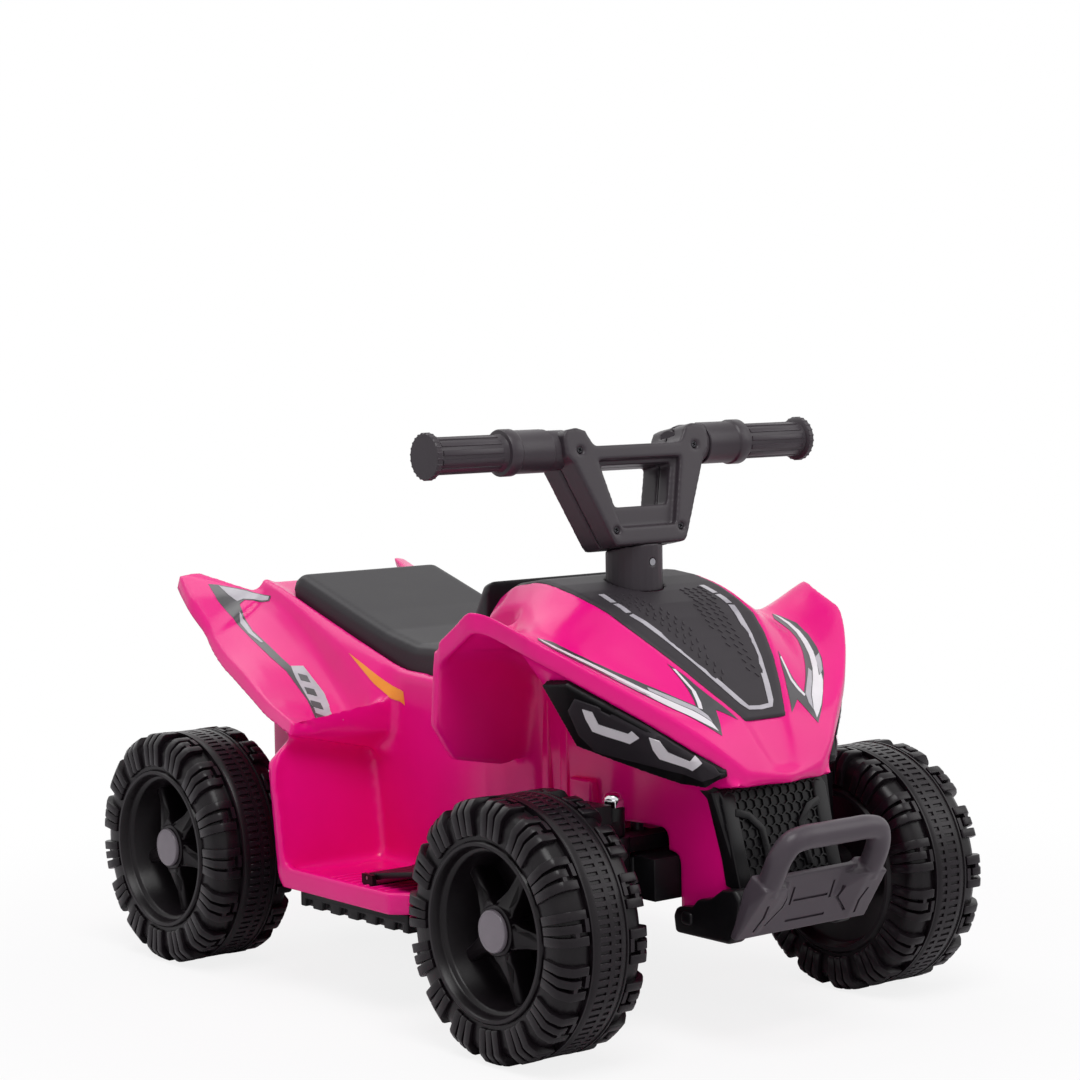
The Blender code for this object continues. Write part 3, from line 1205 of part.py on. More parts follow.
def make_motor(motor, low, end):
    """The can motor, bolted to the gearbox's inner face, with its shaft through the wall to end."""
    profile = [(0, -MOTOR_LENGTH), (MOTOR_RADIUS, -MOTOR_LENGTH), (MOTOR_RADIUS, -GAP), (0.004, -GAP),
               (0.004, 0.002),
               (MOTOR_SHAFT_RADIUS, 0.002), (MOTOR_SHAFT_RADIUS, end - low), (0, end - low)]
    show("drive_motor", turned(profile, (low, motor.y, motor.z), (1, 0, 0), 20), zinc_steel())


def motor_hole():
    """The hole in the trunk's left wall that the motor sits in."""
    motor = gear_centres()[2]
    return rod((0.055, motor.y, motor.z), (0.11, motor.y, motor.z), MOTOR_RADIUS + 0.0015, 20)


def make_battery():
    """The battery, standing on the tray inside the trunk."""
    low = rear(-BATTERY_WIDTH / 2, BATTERY_W - BATTERY_LENGTH / 2, TRAY_TOP + GAP)
    battery = bevelled(block(low, low + Vector((BATTERY_WIDTH, BATTERY_LENGTH, BATTERY_HEIGHT))), 0.002)
    return show("battery", battery, black_plastic())


def switch_opening():
    """The window for the switch bezel in the trunk's left wall, as its two corners."""
    half_length, half_height = SWITCH_LENGTH / 2 + 0.002 + GAP, SWITCH_HEIGHT / 2 + 0.002 + GAP
    low = rear(TRUNK_HALF - 0.010, SWITCH_W - half_length, SWITCH_H - half_height)
    high = rear(TRUNK_HALF + 0.010, SWITCH_W + half_length, SWITCH_H + half_height)
    return low, high


def make_switch():
    """The rocker switch on the left wall: a bezel and a rocker that tips forward or back."""
    length, height = SWITCH_LENGTH / 2, SWITCH_HEIGHT / 2
    barrel = block(rear(TRUNK_HALF - 0.012, SWITCH_W - length - 0.002, SWITCH_H - height - 0.002),
                   rear(TRUNK_HALF + 0.0012, SWITCH_W + length + 0.002, SWITCH_H + height + 0.002))
    flange = block(rear(TRUNK_HALF + GAP, SWITCH_W - length - 0.004, SWITCH_H - height - 0.004),
                   rear(TRUNK_HALF + 0.0022, SWITCH_W + length + 0.004, SWITCH_H + height + 0.004))
    bezel = show("switch_bezel", barrel, black_plastic())
    join(bezel, flange)
    cut(bezel, block(rear(TRUNK_HALF - 0.009, SWITCH_W - length, SWITCH_H - height),
                     rear(TRUNK_HALF + 0.010, SWITCH_W + length, SWITCH_H + height)))
    pivot = rear(TRUNK_HALF - 0.002, SWITCH_W, SWITCH_H)
    reach = length - 0.0012
    outline = []
    for k in range(7):
        turn = math.radians(-36 + 12 * k)
        outline.append((pivot.x + 0.0065 * math.cos(turn) + 0.0015, pivot.y
                        + reach * math.sin(turn) / math.sin(math.radians(36))))
    outline += [(pivot.x - 0.003, pivot.y + reach * 0.6), (pivot.x - 0.003, pivot.y - reach * 0.6)]
    rocker = prism(outline, pivot.z - height + RUNNING_GAP, pivot.z + height - RUNNING_GAP, "Z")
    show("direction_switch", rocker, black_plastic(), pivot)


def make_charge_socket():
    """The round charging socket in the trunk's left wall."""
    centre = rear(TRUNK_HALF, SOCKET_W, SOCKET_H)
    flange = SOCKET_RADIUS + 0.002
    profile = [(0, -0.012), (SOCKET_RADIUS, -0.012), (SOCKET_RADIUS, GAP), (flange, GAP), (flange, 0.002),
               (SOCKET_RADIUS - 0.0015, 0.002), (SOCKET_RADIUS - 0.0015, -0.008), (0, -0.008)]
    show("charge_socket", turned(profile, centre, (1, 0, 0), SMALL_STEPS), black_plastic())


def pedal_pivot():
    """The accelerator's pin, at the heel end of the pedal."""
    return front(-PEDAL_X, BOARD_FRONT + BOARD_LIP + 0.006 + PEDAL_LENGTH, BOARD_TOP - BOARD_SINK + 0.0060)


def make_pedal():
    """The accelerator: a plate that tips down at the toe, on a pin in two cheeks of its own base."""
    pivot = pedal_pivot()
    half = PEDAL_WIDTH / 2
    floor = AXLE_Z + BOARD_TOP - BOARD_SINK + GAP

    def pin(reach, radius):
        """A round bar on the pedal's pivot, past its sides by reach."""
        left, right = pivot - Vector((half + reach, 0, 0)), pivot + Vector((half + reach, 0, 0))
        return rod(left, right, radius, 12)

    foot = block((pivot.x - half - 0.004, pivot.y - 0.008, floor),
                 (pivot.x + half + 0.004, pivot.y + 0.006, floor + 0.0085))
    base = show("pedal_base", foot, black_plastic())
    cut(base, block((pivot.x - half - GAP, pivot.y - 0.020, floor + 0.001),
                    (pivot.x + half + GAP, pivot.y + 0.020, floor + 0.02)))
    cut(base, pin(0.01, PEDAL_PIN_RADIUS + GAP))
    show("pedal_pin", pin(0.0035, PEDAL_PIN_RADIUS), zinc_steel())
    toe = PEDAL_LENGTH
    outline = [(pivot.y + 0.0040, pivot.z - 0.0005), (pivot.y + 0.0030, pivot.z + 0.0030),
               (pivot.y - 0.004, pivot.z + 0.0036),
               (pivot.y - toe, pivot.z + 0.0125), (pivot.y - toe - 0.003, pivot.z + 0.0100),
               (pivot.y - toe, pivot.z + 0.0125 - PEDAL_THICKNESS), (pivot.y - 0.006, pivot.z - 0.0010),
               (pivot.y - 0.002, pivot.z - 0.0028), (pivot.y + 0.0025, pivot.z - 0.0028)]
    half_plate = half - RUNNING_GAP
    pedal = show("accelerator_pedal", prism(outline, pivot.x - half_plate, pivot.x + half_plate, "X"),
                 black_plastic(), pivot)
    cut(pedal, pin(0, PEDAL_PIN_RADIUS + GAP))


def main():
    """Makes every part of the car."""
    clear_scene()
    make_body_shell()
    make_hood_cover()
    make_column_bush()
    make_headlights()
    make_grille()
    make_front_bumper()
    show("seat", seat_solid(), black_plastic())
    make_chassis_tray()
    make_front_axle_beam()
    for side, name in ((-1, "right"), (1, "left")):
        make_knuckle(side, name)
    make_wheels()
    make_steering_column()
    make_tie_rod()
    make_handlebar()
    make_grips()
    make_gearbox()
    make_battery()
    make_switch()
    make_charge_socket()
    make_pedal()


main()
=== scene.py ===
"""A child's four-wheel electric ride-on car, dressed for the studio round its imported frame.

Lengths are in metres and +Z is up. The nose faces -Y, so the rider's right is -X. Places near the front
are measured as (x, u, z), with u behind the front axle.
"""

import logging
import math
from dataclasses import dataclass, field, replace
from enum import Enum
from typing import Sequence

import bmesh
import bpy
from mathutils import Matrix, Vector


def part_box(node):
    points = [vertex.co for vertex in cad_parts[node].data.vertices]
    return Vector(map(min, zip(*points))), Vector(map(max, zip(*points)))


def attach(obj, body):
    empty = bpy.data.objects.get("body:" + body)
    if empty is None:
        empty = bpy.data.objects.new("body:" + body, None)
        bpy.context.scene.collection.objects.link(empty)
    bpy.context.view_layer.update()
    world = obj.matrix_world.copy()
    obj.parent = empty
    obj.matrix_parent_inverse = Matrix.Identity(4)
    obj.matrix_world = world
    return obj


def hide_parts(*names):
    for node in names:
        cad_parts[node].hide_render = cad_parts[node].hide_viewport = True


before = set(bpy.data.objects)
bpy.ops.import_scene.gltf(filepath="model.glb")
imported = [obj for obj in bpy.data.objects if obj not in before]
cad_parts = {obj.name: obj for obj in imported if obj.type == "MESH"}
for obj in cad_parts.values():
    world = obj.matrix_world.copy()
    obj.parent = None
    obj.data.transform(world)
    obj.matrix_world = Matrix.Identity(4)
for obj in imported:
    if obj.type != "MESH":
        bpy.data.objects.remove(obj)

LOG = logging.getLogger("quad")
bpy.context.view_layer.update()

FRONT_AXLE_Y = -0.19785
REAR_AXLE_Y = 0.24115
AXLE_Z = 0.095
WHEEL_X = 0.1705
COLUMN_Y = FRONT_AXLE_Y + 0.0745

Triple = tuple[float, float, float]
Pair = tuple[float, float]


class Side(Enum):
    """The rider's right and left, by the sign of X."""

    RIGHT = -1
    LEFT = 1

    @property
    def word(self) -> str:
        """The side's name as the frame's nodes spell it."""
        return self.name.lower()


def at(x: float, u: float, z: float) -> Vector:
    """A place given behind the front axle."""
    return Vector((x, FRONT_AXLE_Y + u, z))


def millimetres(*values: float) -> Vector:
    """A place given in millimetres behind the front axle.

    Args:
        values: x, the distance behind it, and z.

    Returns:
        The place in metres.
    """
    x, u, z = values
    return at(x / 1000, u / 1000, z / 1000)


# Finishes


def linear(hexed: str) -> tuple[float, float, float, float]:
    """Turn an sRGB hex colour to linear light.

    Args:
        hexed: six hex digits, such as "F0288A".

    Returns:
        Linear red, green, blue and an alpha of one.
    """
    parts = [int(hexed[i:i + 2], 16) / 255 for i in (0, 2, 4)]
    r, g, b = (c / 12.92 if c <= 0.04045 else ((c + 0.055) / 1.055) ** 2.4 for c in parts)
    return (r, g, b, 1.0)


def node(
    tree: bpy.types.NodeTree, kind: str, settings: dict | None = None, links: dict | None = None,
) -> bpy.types.Node:
    """Add a shader node with its settings and links.

    Args:
        tree: the material's or world's node tree.
        kind: the node's type, without the ShaderNode that it starts with.
        settings: attribute names, or input names or numbers, with their values.
        links: input names or numbers with the output sockets that feed them.

    Returns:
        The new node.
    """
    made = tree.nodes.new("ShaderNode" + kind)
    for key, value in (settings or {}).items():
        if isinstance(key, int) or key in made.inputs:
            made.inputs[key].default_value = value
        else:
            setattr(made, key, value)
    for key, socket in (links or {}).items():
        tree.links.new(socket, made.inputs[key])
    return made


@dataclass(frozen=True)
class Finish:
    """A moulded, plated or printed surface, as a few physical numbers.

    Attributes:
        name: what the material is and how its surface was made.
        colour: its sRGB colour.
        second: the colour that it drifts to in soft patches.
        patch_mm: the size of those patches.
        roughness: the microscopic roughness on average.
        spread: how far the roughness drifts either way.
        grain_mm: the size of the surface's grain or ripple.
        grain_depth_mm: how deep that grain is.
        painted_edge_highlight: how far raised edges drift to the paler second colour, a painted highlight
            along them.
        metallic: one for a bare metal.
        coat: a clear gloss over the colour.
        ior: the plastic's index of refraction.
    """

    name: str
    colour: str
    second: str
    patch_mm: float = 60.0
    roughness: float = 0.4
    spread: float = 0.06
    grain_mm: float = 1.2
    grain_depth_mm: float = 0.02
    painted_edge_highlight: float = 0.0
    metallic: float = 0.0
    coat: float = 0.0
    ior: float = 1.5

    def material(self) -> bpy.types.Material:
        """Build the node material, or find it where it is built already.

        Returns:
            The material.
        """
        ready = bpy.data.materials.get(self.name)
        if ready:
            return ready
        made = bpy.data.materials.new(self.name)
        made.use_nodes = True
        tree = made.node_tree
        tree.nodes.clear()
        place = {"Vector": node(tree, "TexCoord").outputs["Object"]}
        cells = {"Scale": 1000 / self.patch_mm, "Detail": 4.0, "Roughness": 0.55}
        patches = node(tree, "TexNoise", cells, place)
        grain = node(tree, "TexNoise", {"Scale": 1000 / self.grain_mm, "Detail": 2.0}, place)
        cloud = {"Value": patches.outputs["Fac"]}
        share = node(tree, "MapRange", {"From Min": 0.3, "From Max": 0.7}, cloud).outputs["Result"]
        # Painted highlight: raised edges, found by pointiness, drift towards the paler second colour.
        if self.painted_edge_highlight:
            form = node(tree, "NewGeometry").outputs["Pointiness"]
            raised = {"From Min": 0.52, "From Max": 0.62, "To Max": self.painted_edge_highlight}
            edge = node(tree, "MapRange", raised, {"Value": form}).outputs["Result"]
            blend = {"operation": "MULTIPLY_ADD", 1: 0.35}
            share = node(tree, "Math", blend, {0: share, 2: edge}).outputs[0]
        pair = {"data_type": "RGBA", 6: linear(self.colour), 7: linear(self.second)}
        mixed = node(tree, "Mix", pair, {0: share})
        limits = {"To Min": self.roughness - self.spread, "To Max": self.roughness + self.spread}
        rough = node(tree, "MapRange", limits, cloud)
        height = {"Height": grain.outputs["Fac"]}
        bump = node(tree, "Bump", {"Strength": 1.0, "Distance": self.grain_depth_mm / 1000}, height)
        settings = {"Metallic": self.metallic, "Coat Weight": self.coat, "Coat Roughness": 0.08}
        shader = node(tree, "BsdfPrincipled", settings, {
            "Base Color": mixed.outputs[2], "Roughness": rough.outputs["Result"],
            "Normal": bump.outputs["Normal"]})
        if not self.metallic:
            shader.inputs["IOR"].default_value = self.ior
        node(tree, "OutputMaterial", {}, {"Surface": shader.outputs["BSDF"]})
        return made


def steel(plating: str, colour: str, second: str, patch_mm: float, roughness: float, spread: float,
          grain_mm: float = 0.6, grain_depth_mm: float = 0.01) -> Finish:
    """A steel part by its plating.

    Args:
        plating: what the steel is plated or coloured with.
        colour: its sRGB colour.
        second: the colour that it drifts to.
        patch_mm: the size of the patches.
        roughness: the roughness on average.
        spread: how far the roughness drifts either way.
        grain_mm: the size of the grain.
        grain_depth_mm: how deep the grain is.

    Returns:
        The finish.
    """
    return Finish(f"steel_{plating}", colour, second, patch_mm, roughness, spread, grain_mm, grain_depth_mm,
                  metallic=1.0)


def vinyl(shade: str, colour: str, second: str, patch_mm: float) -> Finish:
    """A printed vinyl film under its clear laminate."""
    return Finish(f"vinyl_printed_{shade}", colour, second, patch_mm, 0.30, 0.04, 3.0, 0.01, coat=0.3)


class Skin(Enum):
    """Every finish on the car, each with the frame's material slot that it belongs to."""

    # Polyethylene, blow moulded in hot pink: a wet gloss with the faint long ripple of the mould.
    PINK = (Finish("polyethylene_blow_moulded_pink", "F20D88", "EA0A80", 90, 0.24, 0.04, 16.0, 0.030,
                   coat=0.07, ior=1.33), "pink_body")
    # Polypropylene with a fine spark-eroded grain, which keeps its black matt.
    MATT = (Finish("polypropylene_grained_black", "262126", "2D282D", 30, 0.52, 0.05, 0.9, 0.055, ior=1.36),
            "black_plastic")
    # The same plastic from a smoother mould, for the lamp panels and the underbody, with painted edge
    # highlights.
    SATIN = (Finish("polypropylene_moulded_black", "0D0C0E", "141215", 40, 0.36, 0.06, 1.6, 0.025, painted_edge_highlight=0.5,
                    ior=1.28), "black_plastic")
    # Blow-moulded polyethylene wheels: satin, with a painted highlight that makes the lug edges paler.
    WHEEL = (Finish("polyethylene_blow_moulded_black", "0E0A0D", "1B151A", 35, 0.31, 0.08, 2.2, 0.05, painted_edge_highlight=0.8,
                    ior=1.31), "wheel_plastic")
    # Charcoal polypropylene of the handlebar, with a soft sheen and a painted highlight on raised edges.
    CHARCOAL = (Finish("polypropylene_moulded_charcoal", "312B30", "3B343A", 45, 0.40, 0.05, 1.0, 0.035,
                       painted_edge_highlight=0.5, ior=1.40), "charcoal_plastic")
    # The same plastic at the bumper, a little lighter, with the same painted edge highlight.
    BUMPER = (replace(CHARCOAL[0], name="polypropylene_moulded_charcoal_light", colour="40383F",
                      second="4B444A"), "charcoal_plastic")
    # Grey ABS hub caps, smooth from a polished mould.
    GREY = (Finish("abs_moulded_grey", "706970", "7A7379", 25, 0.30, 0.04, 1.4, 0.012), "grey_plastic")
    # The hard saddle, moulded with a leather-like matt grain.
    SEAT = (Finish("polyethylene_moulded_saddle_black", "1C191D", "242125", 40, 0.46, 0.05, 1.6, 0.06,
                   ior=1.38), "seat_plastic")
    # Zinc-plated rods, dull and slightly clouded, near-mirror dome nuts, and the handlebar's darker screws.
    ZINC = (steel("zinc_plated", "A9ABAE", "8E9196", 8, 0.36, 0.08), "zinc_steel")
    CHROME = (steel("chrome_plated", "D9DADC", "CDCED2", 12, 0.10, 0.03, 2.0, 0.003), "chrome")
    OXIDE = (steel("black_oxide", "3A393C", "2B2A2D", 6, 0.34, 0.08), "zinc_steel")
    # Natural nylon gears and bush, waxy and off-white.
    NYLON = (Finish("nylon_natural", "DDD8C8", "D2CCBA", 15, 0.45, 0.05, 1.0, 0.01), "nylon")
    # The battery's ABS case.
    BATTERY = (Finish("abs_battery_case", "3A3A3E", "323236", 30, 0.5, 0.05, 0.8, 0.03), "battery_case")
    # The printed films on the body, and the saddle's orange accent.
    WHITE = (vinyl("white", "EDE9EC", "E4DFE3", 20), "pink_body")
    SILVER = (vinyl("silver", "BDB9BF", "AAA6AD", 12), "pink_body")
    INK = (vinyl("black", "2C2A2E", "3A373C", 12), "pink_body")
    ORANGE = (vinyl("orange", "F79A16", "F58E0E", 20), "pink_body")

    @property
    def finish(self) -> Finish:
        """The finish itself."""
        return self.value[0]

    @property
    def slot(self) -> str:
        """The frame's material slot."""
        return self.value[1]


# Modelling


def flowing(knots: Sequence[float], values: Sequence[Vector], places: Sequence[float]) -> list[Vector]:
    """Run a smooth curve through values.

    Args:
        knots: where along the curve each value stands, rising.
        values: the places that it runs through.
        places: where along it the answers are wanted.

    Returns:
        The curve's places.
    """
    spans = [after - before for before, after in zip(knots, knots[1:])]
    slopes = [(after - before) / span for before, after, span in zip(values, values[1:], spans)]
    inner = [(a * y + b * x) / (x + y) for a, b, x, y in zip(slopes, slopes[1:], spans, spans[1:])]
    leans = [slopes[0], *inner, slopes[-1]]
    found = []
    for place in places:
        i = max(k for k in range(len(spans)) if knots[k] <= place + 1e-9)
        q = (place - knots[i]) / spans[i]
        ends = values[i] * (2 * q**3 - 3 * q**2 + 1) + values[i + 1] * (3 * q**2 - 2 * q**3)
        found.append(ends + (leans[i] * (q**3 - 2 * q**2 + q) + leans[i + 1] * (q**3 - q**2)) * spans[i])
    return found


def steps(knots: Sequence[float], count: int) -> list[float]:
    """Each knot with evenly many places between it and the next."""
    return [a + (b - a) * k / count for a, b in zip(knots, knots[1:]) for k in range(count)] + [knots[-1]]


def lengths(path: Sequence[Vector]) -> list[float]:
    """How far along a path each of its points lies.

    Args:
        path: the path's points.

    Returns:
        The distances, from zero.
    """
    found = [0.0]
    for before, after in zip(path, path[1:]):
        found.append(found[-1] + (after - before).length)
    return found


def ways(path: Sequence[Vector]) -> list[Vector]:
    """The direction in which a path runs at each of its points, as a step from one neighbour to the other."""
    return [after - before for before, after in zip([path[0], *path[:-1]], [*path[1:], path[-1]])]


def strip(path: Sequence[Vector], width: float, up: Vector) -> list[Vector]:
    """The outline of a strip of even width along a path.

    Args:
        path: the strip's middle line.
        width: how wide it is.
        up: the direction that the strip faces.

    Returns:
        The outline's corners, down one side and back up the other.
    """
    across = [up.cross(way).normalized() * (width / 2) for way in ways(path)]
    first = [point + reach for point, reach in zip(path, across)]
    second = [point - reach for point, reach in zip(path, across)]
    return first + second[::-1]


class Form:
    """A piece in the making: one object whose mesh is shaped by edit-mode operators and modifiers."""

    def __init__(self, obj: bpy.types.Object) -> None:
        """Take over a new object."""
        self.obj = obj

    @staticmethod
    def clear() -> None:
        """Deselect every object."""
        for obj in list(bpy.context.selected_objects):
            obj.select_set(False)

    @classmethod
    def taken(cls) -> "Form":
        """The primitive that an operator has just added, with its place put in its mesh."""
        bpy.ops.object.transform_apply(location=True, rotation=True, scale=True)
        return cls(bpy.context.active_object)

    @classmethod
    def block(cls, low: Sequence[float], high: Sequence[float]) -> "Form":
        """A box between two corners.

        Args:
            low: one corner.
            high: the opposite one.

        Returns:
            The form.
        """
        cls.clear()
        low, high = Vector(low), Vector(high)
        spans = [abs(span) for span in high - low]
        bpy.ops.mesh.primitive_cube_add(size=1, location=(low + high) / 2, scale=spans)
        return cls.taken()

    @classmethod
    def outline(cls, points: Sequence[Sequence[float]], filled: bool = True) -> "Form":
        """A ring of points, as a single face or left open.

        Args:
            points: the corners in order.
            filled: whether the ring carries a face.

        Returns:
            The form.
        """
        cls.clear()
        fill = "NGON" if filled else "NOTHING"
        bpy.ops.mesh.primitive_circle_add(vertices=len(points), radius=1.0, fill_type=fill)
        form = cls.taken()
        starts = [vert.co.copy() for vert in form.obj.data.vertices]
        form.edit("VERT")
        for number, (start, point) in enumerate(zip(starts, points)):
            mesh = form.live()
            for vert in mesh.verts:
                vert.select = vert.index == number
            mesh.select_flush_mode()
            bmesh.update_edit_mesh(form.obj.data)
            bpy.ops.transform.translate(value=Vector(point) - start)
        form.leave()
        return form

    @classmethod
    def net(cls, rows: Sequence[Sequence[Vector]]) -> "Form":
        """A grid whose points are set along rows of equally many places, with its faces upwards.

        Args:
            rows: the places, row by row.

        Returns:
            The form.
        """
        cls.clear()
        bpy.ops.mesh.primitive_grid_add(x_subdivisions=len(rows[0]) - 1, y_subdivisions=len(rows) - 1, size=1)
        form = cls.taken()
        for vert, place in zip(form.obj.data.vertices, (place for row in rows for place in row)):
            vert.co = place
        form.weld()
        if sum(face.normal.z * face.area for face in form.obj.data.polygons) < 0:
            form.flip()
        return form

    @classmethod
    def tube(cls, path: Sequence[Vector], radius: float, flat: Vector, sides: int = 24) -> "Form":
        """A round bar along a path whose bends all lie across one direction, closed at both ends.

        Args:
            path: the bar's middle line.
            radius: its radius.
            flat: the direction that no part of the path runs along.
            sides: how many sides make it round.

        Returns:
            The form.
        """
        rows = []
        turns = [math.tau * k / sides for k in range(sides + 1)]
        for point, way in zip(path, ways(path)):
            side = way.cross(flat).normalized()
            rise = side.cross(way).normalized()
            rows.append([point + (side * math.cos(t) + rise * math.sin(t)) * radius for t in turns])
        form = cls.net(rows)
        form.edit()
        bpy.ops.mesh.fill_holes(sides=0)
        bpy.ops.mesh.normals_make_consistent(inside=False)
        form.leave()
        return form

    @classmethod
    def hull(cls, points: Sequence[Vector]) -> "Form":
        """The convex solid round some points.

        Args:
            points: the points.

        Returns:
            The form.
        """
        form = cls.outline(points, filled=False)
        form.edit("VERT")
        bpy.ops.mesh.convex_hull()
        form.outwards()
        form.leave()
        return form

    @classmethod
    def lathed(cls, profile: Sequence[Pair], count: int) -> "Form":
        """Turn a section of (radius, place along X) points about the X axis."""
        return cls.outline([(x, 0, r) for r, x in profile], filled=False).turned((0, 0, 0), (1, 0, 0), count)

    @classmethod
    def copy_of(cls, name: str) -> "Form":
        """A closed copy of a frame node's mesh, to be refined.

        Args:
            name: the node's name.

        Returns:
            The form.
        """
        cls.clear()
        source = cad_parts[name]
        twin = source.copy()
        twin.data = source.data.copy()
        twin.parent = None
        twin.matrix_world = Matrix.Identity(4)
        bpy.context.scene.collection.objects.link(twin)
        form = cls(twin)
        form.weld()
        return form

    def only(self) -> None:
        """Select this object alone and make it active."""
        self.clear()
        self.obj.hide_set(False)
        self.obj.select_set(True)
        bpy.context.view_layer.objects.active = self.obj

    def edit(self, kind: str = "FACE") -> None:
        """Enter edit mode with everything selected."""
        self.only()
        bpy.ops.object.mode_set(mode="EDIT")
        bpy.ops.mesh.select_mode(type=kind)
        bpy.ops.mesh.select_all(action="SELECT")

    def live(self) -> bmesh.types.BMesh:
        """The mesh as it stands in edit mode."""
        return bmesh.from_edit_mesh(self.obj.data)

    @staticmethod
    def leave() -> None:
        """Go back to object mode."""
        bpy.ops.object.mode_set(mode="OBJECT")

    @staticmethod
    def outwards() -> None:
        """Turn every face outwards, in edit mode."""
        bpy.ops.mesh.select_all(action="SELECT")
        bpy.ops.mesh.normals_make_consistent(inside=False)

    def flip(self) -> None:
        """Turn every face over."""
        self.edit()
        bpy.ops.mesh.flip_normals()
        self.leave()

    def weld(self, reach: float = 1e-6) -> "Form":
        """Merge points that coincide and turn the faces outwards.

        Args:
            reach: how near to each other points count as one.

        Returns:
            The form itself.
        """
        self.edit("VERT")
        bpy.ops.mesh.remove_doubles(threshold=reach)
        bpy.ops.mesh.normals_make_consistent(inside=False)
        self.leave()
        return self

    def raised(self, way: Sequence[float]) -> "Form":
        """Extrude an outline's face into a solid.

        Args:
            way: how far and in which direction.

        Returns:
            The form itself.
        """
        self.edit()
        bpy.ops.mesh.extrude_region_move(TRANSFORM_OT_translate={"value": Vector(way)})
        self.outwards()
        self.leave()
        if not self.closed():
            self.edit()
            bpy.ops.mesh.select_mode(type="EDGE")
            bpy.ops.mesh.select_all(action="DESELECT")
            bpy.ops.mesh.select_non_manifold()
            bpy.ops.mesh.edge_face_add()
            self.outwards()
            self.leave()
        return self

    def closed(self) -> bool:
        """Whether every edge has two faces."""
        mesh = bmesh.new()
        mesh.from_mesh(self.obj.data)
        whole = all(edge.is_manifold for edge in mesh.edges)
        mesh.free()
        return whole

    def turned(self, centre: Sequence[float], axis: Sequence[float], count: int) -> "Form":
        """Spin an open outline right round an axis into a closed ring or solid.

        Args:
            centre: a point on the axis.
            axis: the axis's direction.
            count: how many steps make a full turn.

        Returns:
            The form itself.
        """
        self.edit("VERT")
        bpy.ops.mesh.spin(steps=count, angle=math.tau, center=centre, axis=axis)
        self.leave()
        return self.weld(2e-6)

    def modified(self, kind: str, **settings: object) -> "Form":
        """Add a modifier and apply it.

        Args:
            kind: the modifier's type.
            settings: its attributes.

        Returns:
            The form itself.
        """
        self.only()
        modifier = self.obj.modifiers.new(kind.lower(), kind)
        for key, value in settings.items():
            setattr(modifier, key, value)
        bpy.ops.object.modifier_apply(modifier=modifier.name)
        return self

    def bevelled(self, width: float, segments: int = 2, angle: float = 30.0) -> "Form":
        """Round every edge that is sharper than an angle."""
        return self.modified("BEVEL", width=width, segments=segments, limit_method="ANGLE",
                             angle_limit=math.radians(angle), use_clamp_overlap=True)

    def softened(self, voxel: float, rounds: int = 4, keep: float = 1.0) -> "Form":
        """Rework the mesh into even cells and smooth them, so that edges turn over as moulded plastic does.

        Args:
            voxel: the size of a cell.
            rounds: how many times the surface is smoothed.
            keep: the share of the triangles that stays.

        Returns:
            The form itself.
        """
        self.modified("REMESH", mode="VOXEL", voxel_size=voxel)
        self.modified("SMOOTH", factor=0.5, iterations=rounds)
        if keep < 1:
            self.modified("DECIMATE", ratio=keep)
        return self

    def moulded(self, guide: "Form", voxel: float, grow: float, reach: float, keep: float) -> "Form":
        """Rework a faceted solid into an even skin that follows a smooth guide where it runs close to it.

        The solid is thickened while it is reworked, so that its thin rims keep their form. A point moves on
        to the guide only where both face the same way, so that the far side of a thin wall stays.

        Args:
            guide: the smooth sheets.
            voxel: the size of a cell.
            grow: how far the skin stands off while it is reworked.
            reach: how far a point may move to the guide.
            keep: the share of the triangles that stays.

        Returns:
            The form itself.
        """
        self.modified("DECIMATE", decimate_type="DISSOLVE", angle_limit=0.02).modified("TRIANGULATE")
        self.bevelled(0.0006, segments=2, angle=24)
        self.modified("DISPLACE", strength=grow, mid_level=0.0)
        self.modified("REMESH", mode="VOXEL", voxel_size=voxel)
        self.modified("SMOOTH", factor=0.5, iterations=20)
        self.modified("DISPLACE", strength=-0.9 * grow, mid_level=0.0)
        self.modified("SHRINKWRAP", target=guide.obj, wrap_method="PROJECT", project_limit=reach,
                      use_positive_direction=True, use_negative_direction=True, cull_face="FRONT",
                      use_invert_cull=True)
        self.modified("SMOOTH", factor=0.5, iterations=14)
        bpy.data.objects.remove(guide.obj)
        return self.modified("DECIMATE", ratio=keep)

    def moved(self, matrix: Matrix) -> "Form":
        """Place the form by a matrix, which goes into its mesh.

        Args:
            matrix: the matrix.

        Returns:
            The form itself.
        """
        self.only()
        self.obj.matrix_world = matrix @ self.obj.matrix_world
        bpy.ops.object.transform_apply(location=True, rotation=True, scale=True)
        if matrix.determinant() < 0:
            self.weld()
        return self

    def twin(self) -> "Form":
        """A copy with its own mesh."""
        self.only()
        bpy.ops.object.duplicate(linked=False)
        return Form(bpy.context.active_object)

    def joined(self, *others: "Form") -> "Form":
        """Join other forms to this one's mesh.

        Args:
            others: the other forms.

        Returns:
            The form itself.
        """
        self.only()
        for other in others:
            other.obj.select_set(True)
        bpy.ops.object.join()
        return self

    def around(self, count: int) -> "Form":
        """Repeat the form about the X axis through the origin.

        Args:
            count: how many there are in all.

        Returns:
            The form with its copies.
        """
        self.clear()
        bpy.ops.object.empty_add(rotation=(math.tau / count, 0, 0))
        mark = bpy.context.active_object
        bpy.context.view_layer.update()
        self.modified("ARRAY", fit_type="FIXED_COUNT", count=count, use_relative_offset=False,
                      use_object_offset=True, offset_object=mark)
        bpy.data.objects.remove(mark)
        return self

    def without(self, cutter: "Form") -> "Form":
        """Cut another form's space out of this one.

        Args:
            cutter: the other form, which is used up.

        Returns:
            The form itself.
        """
        self.modified("BOOLEAN", operation="DIFFERENCE", object=cutter.obj, solver="EXACT")
        bpy.data.objects.remove(cutter.obj)
        return self

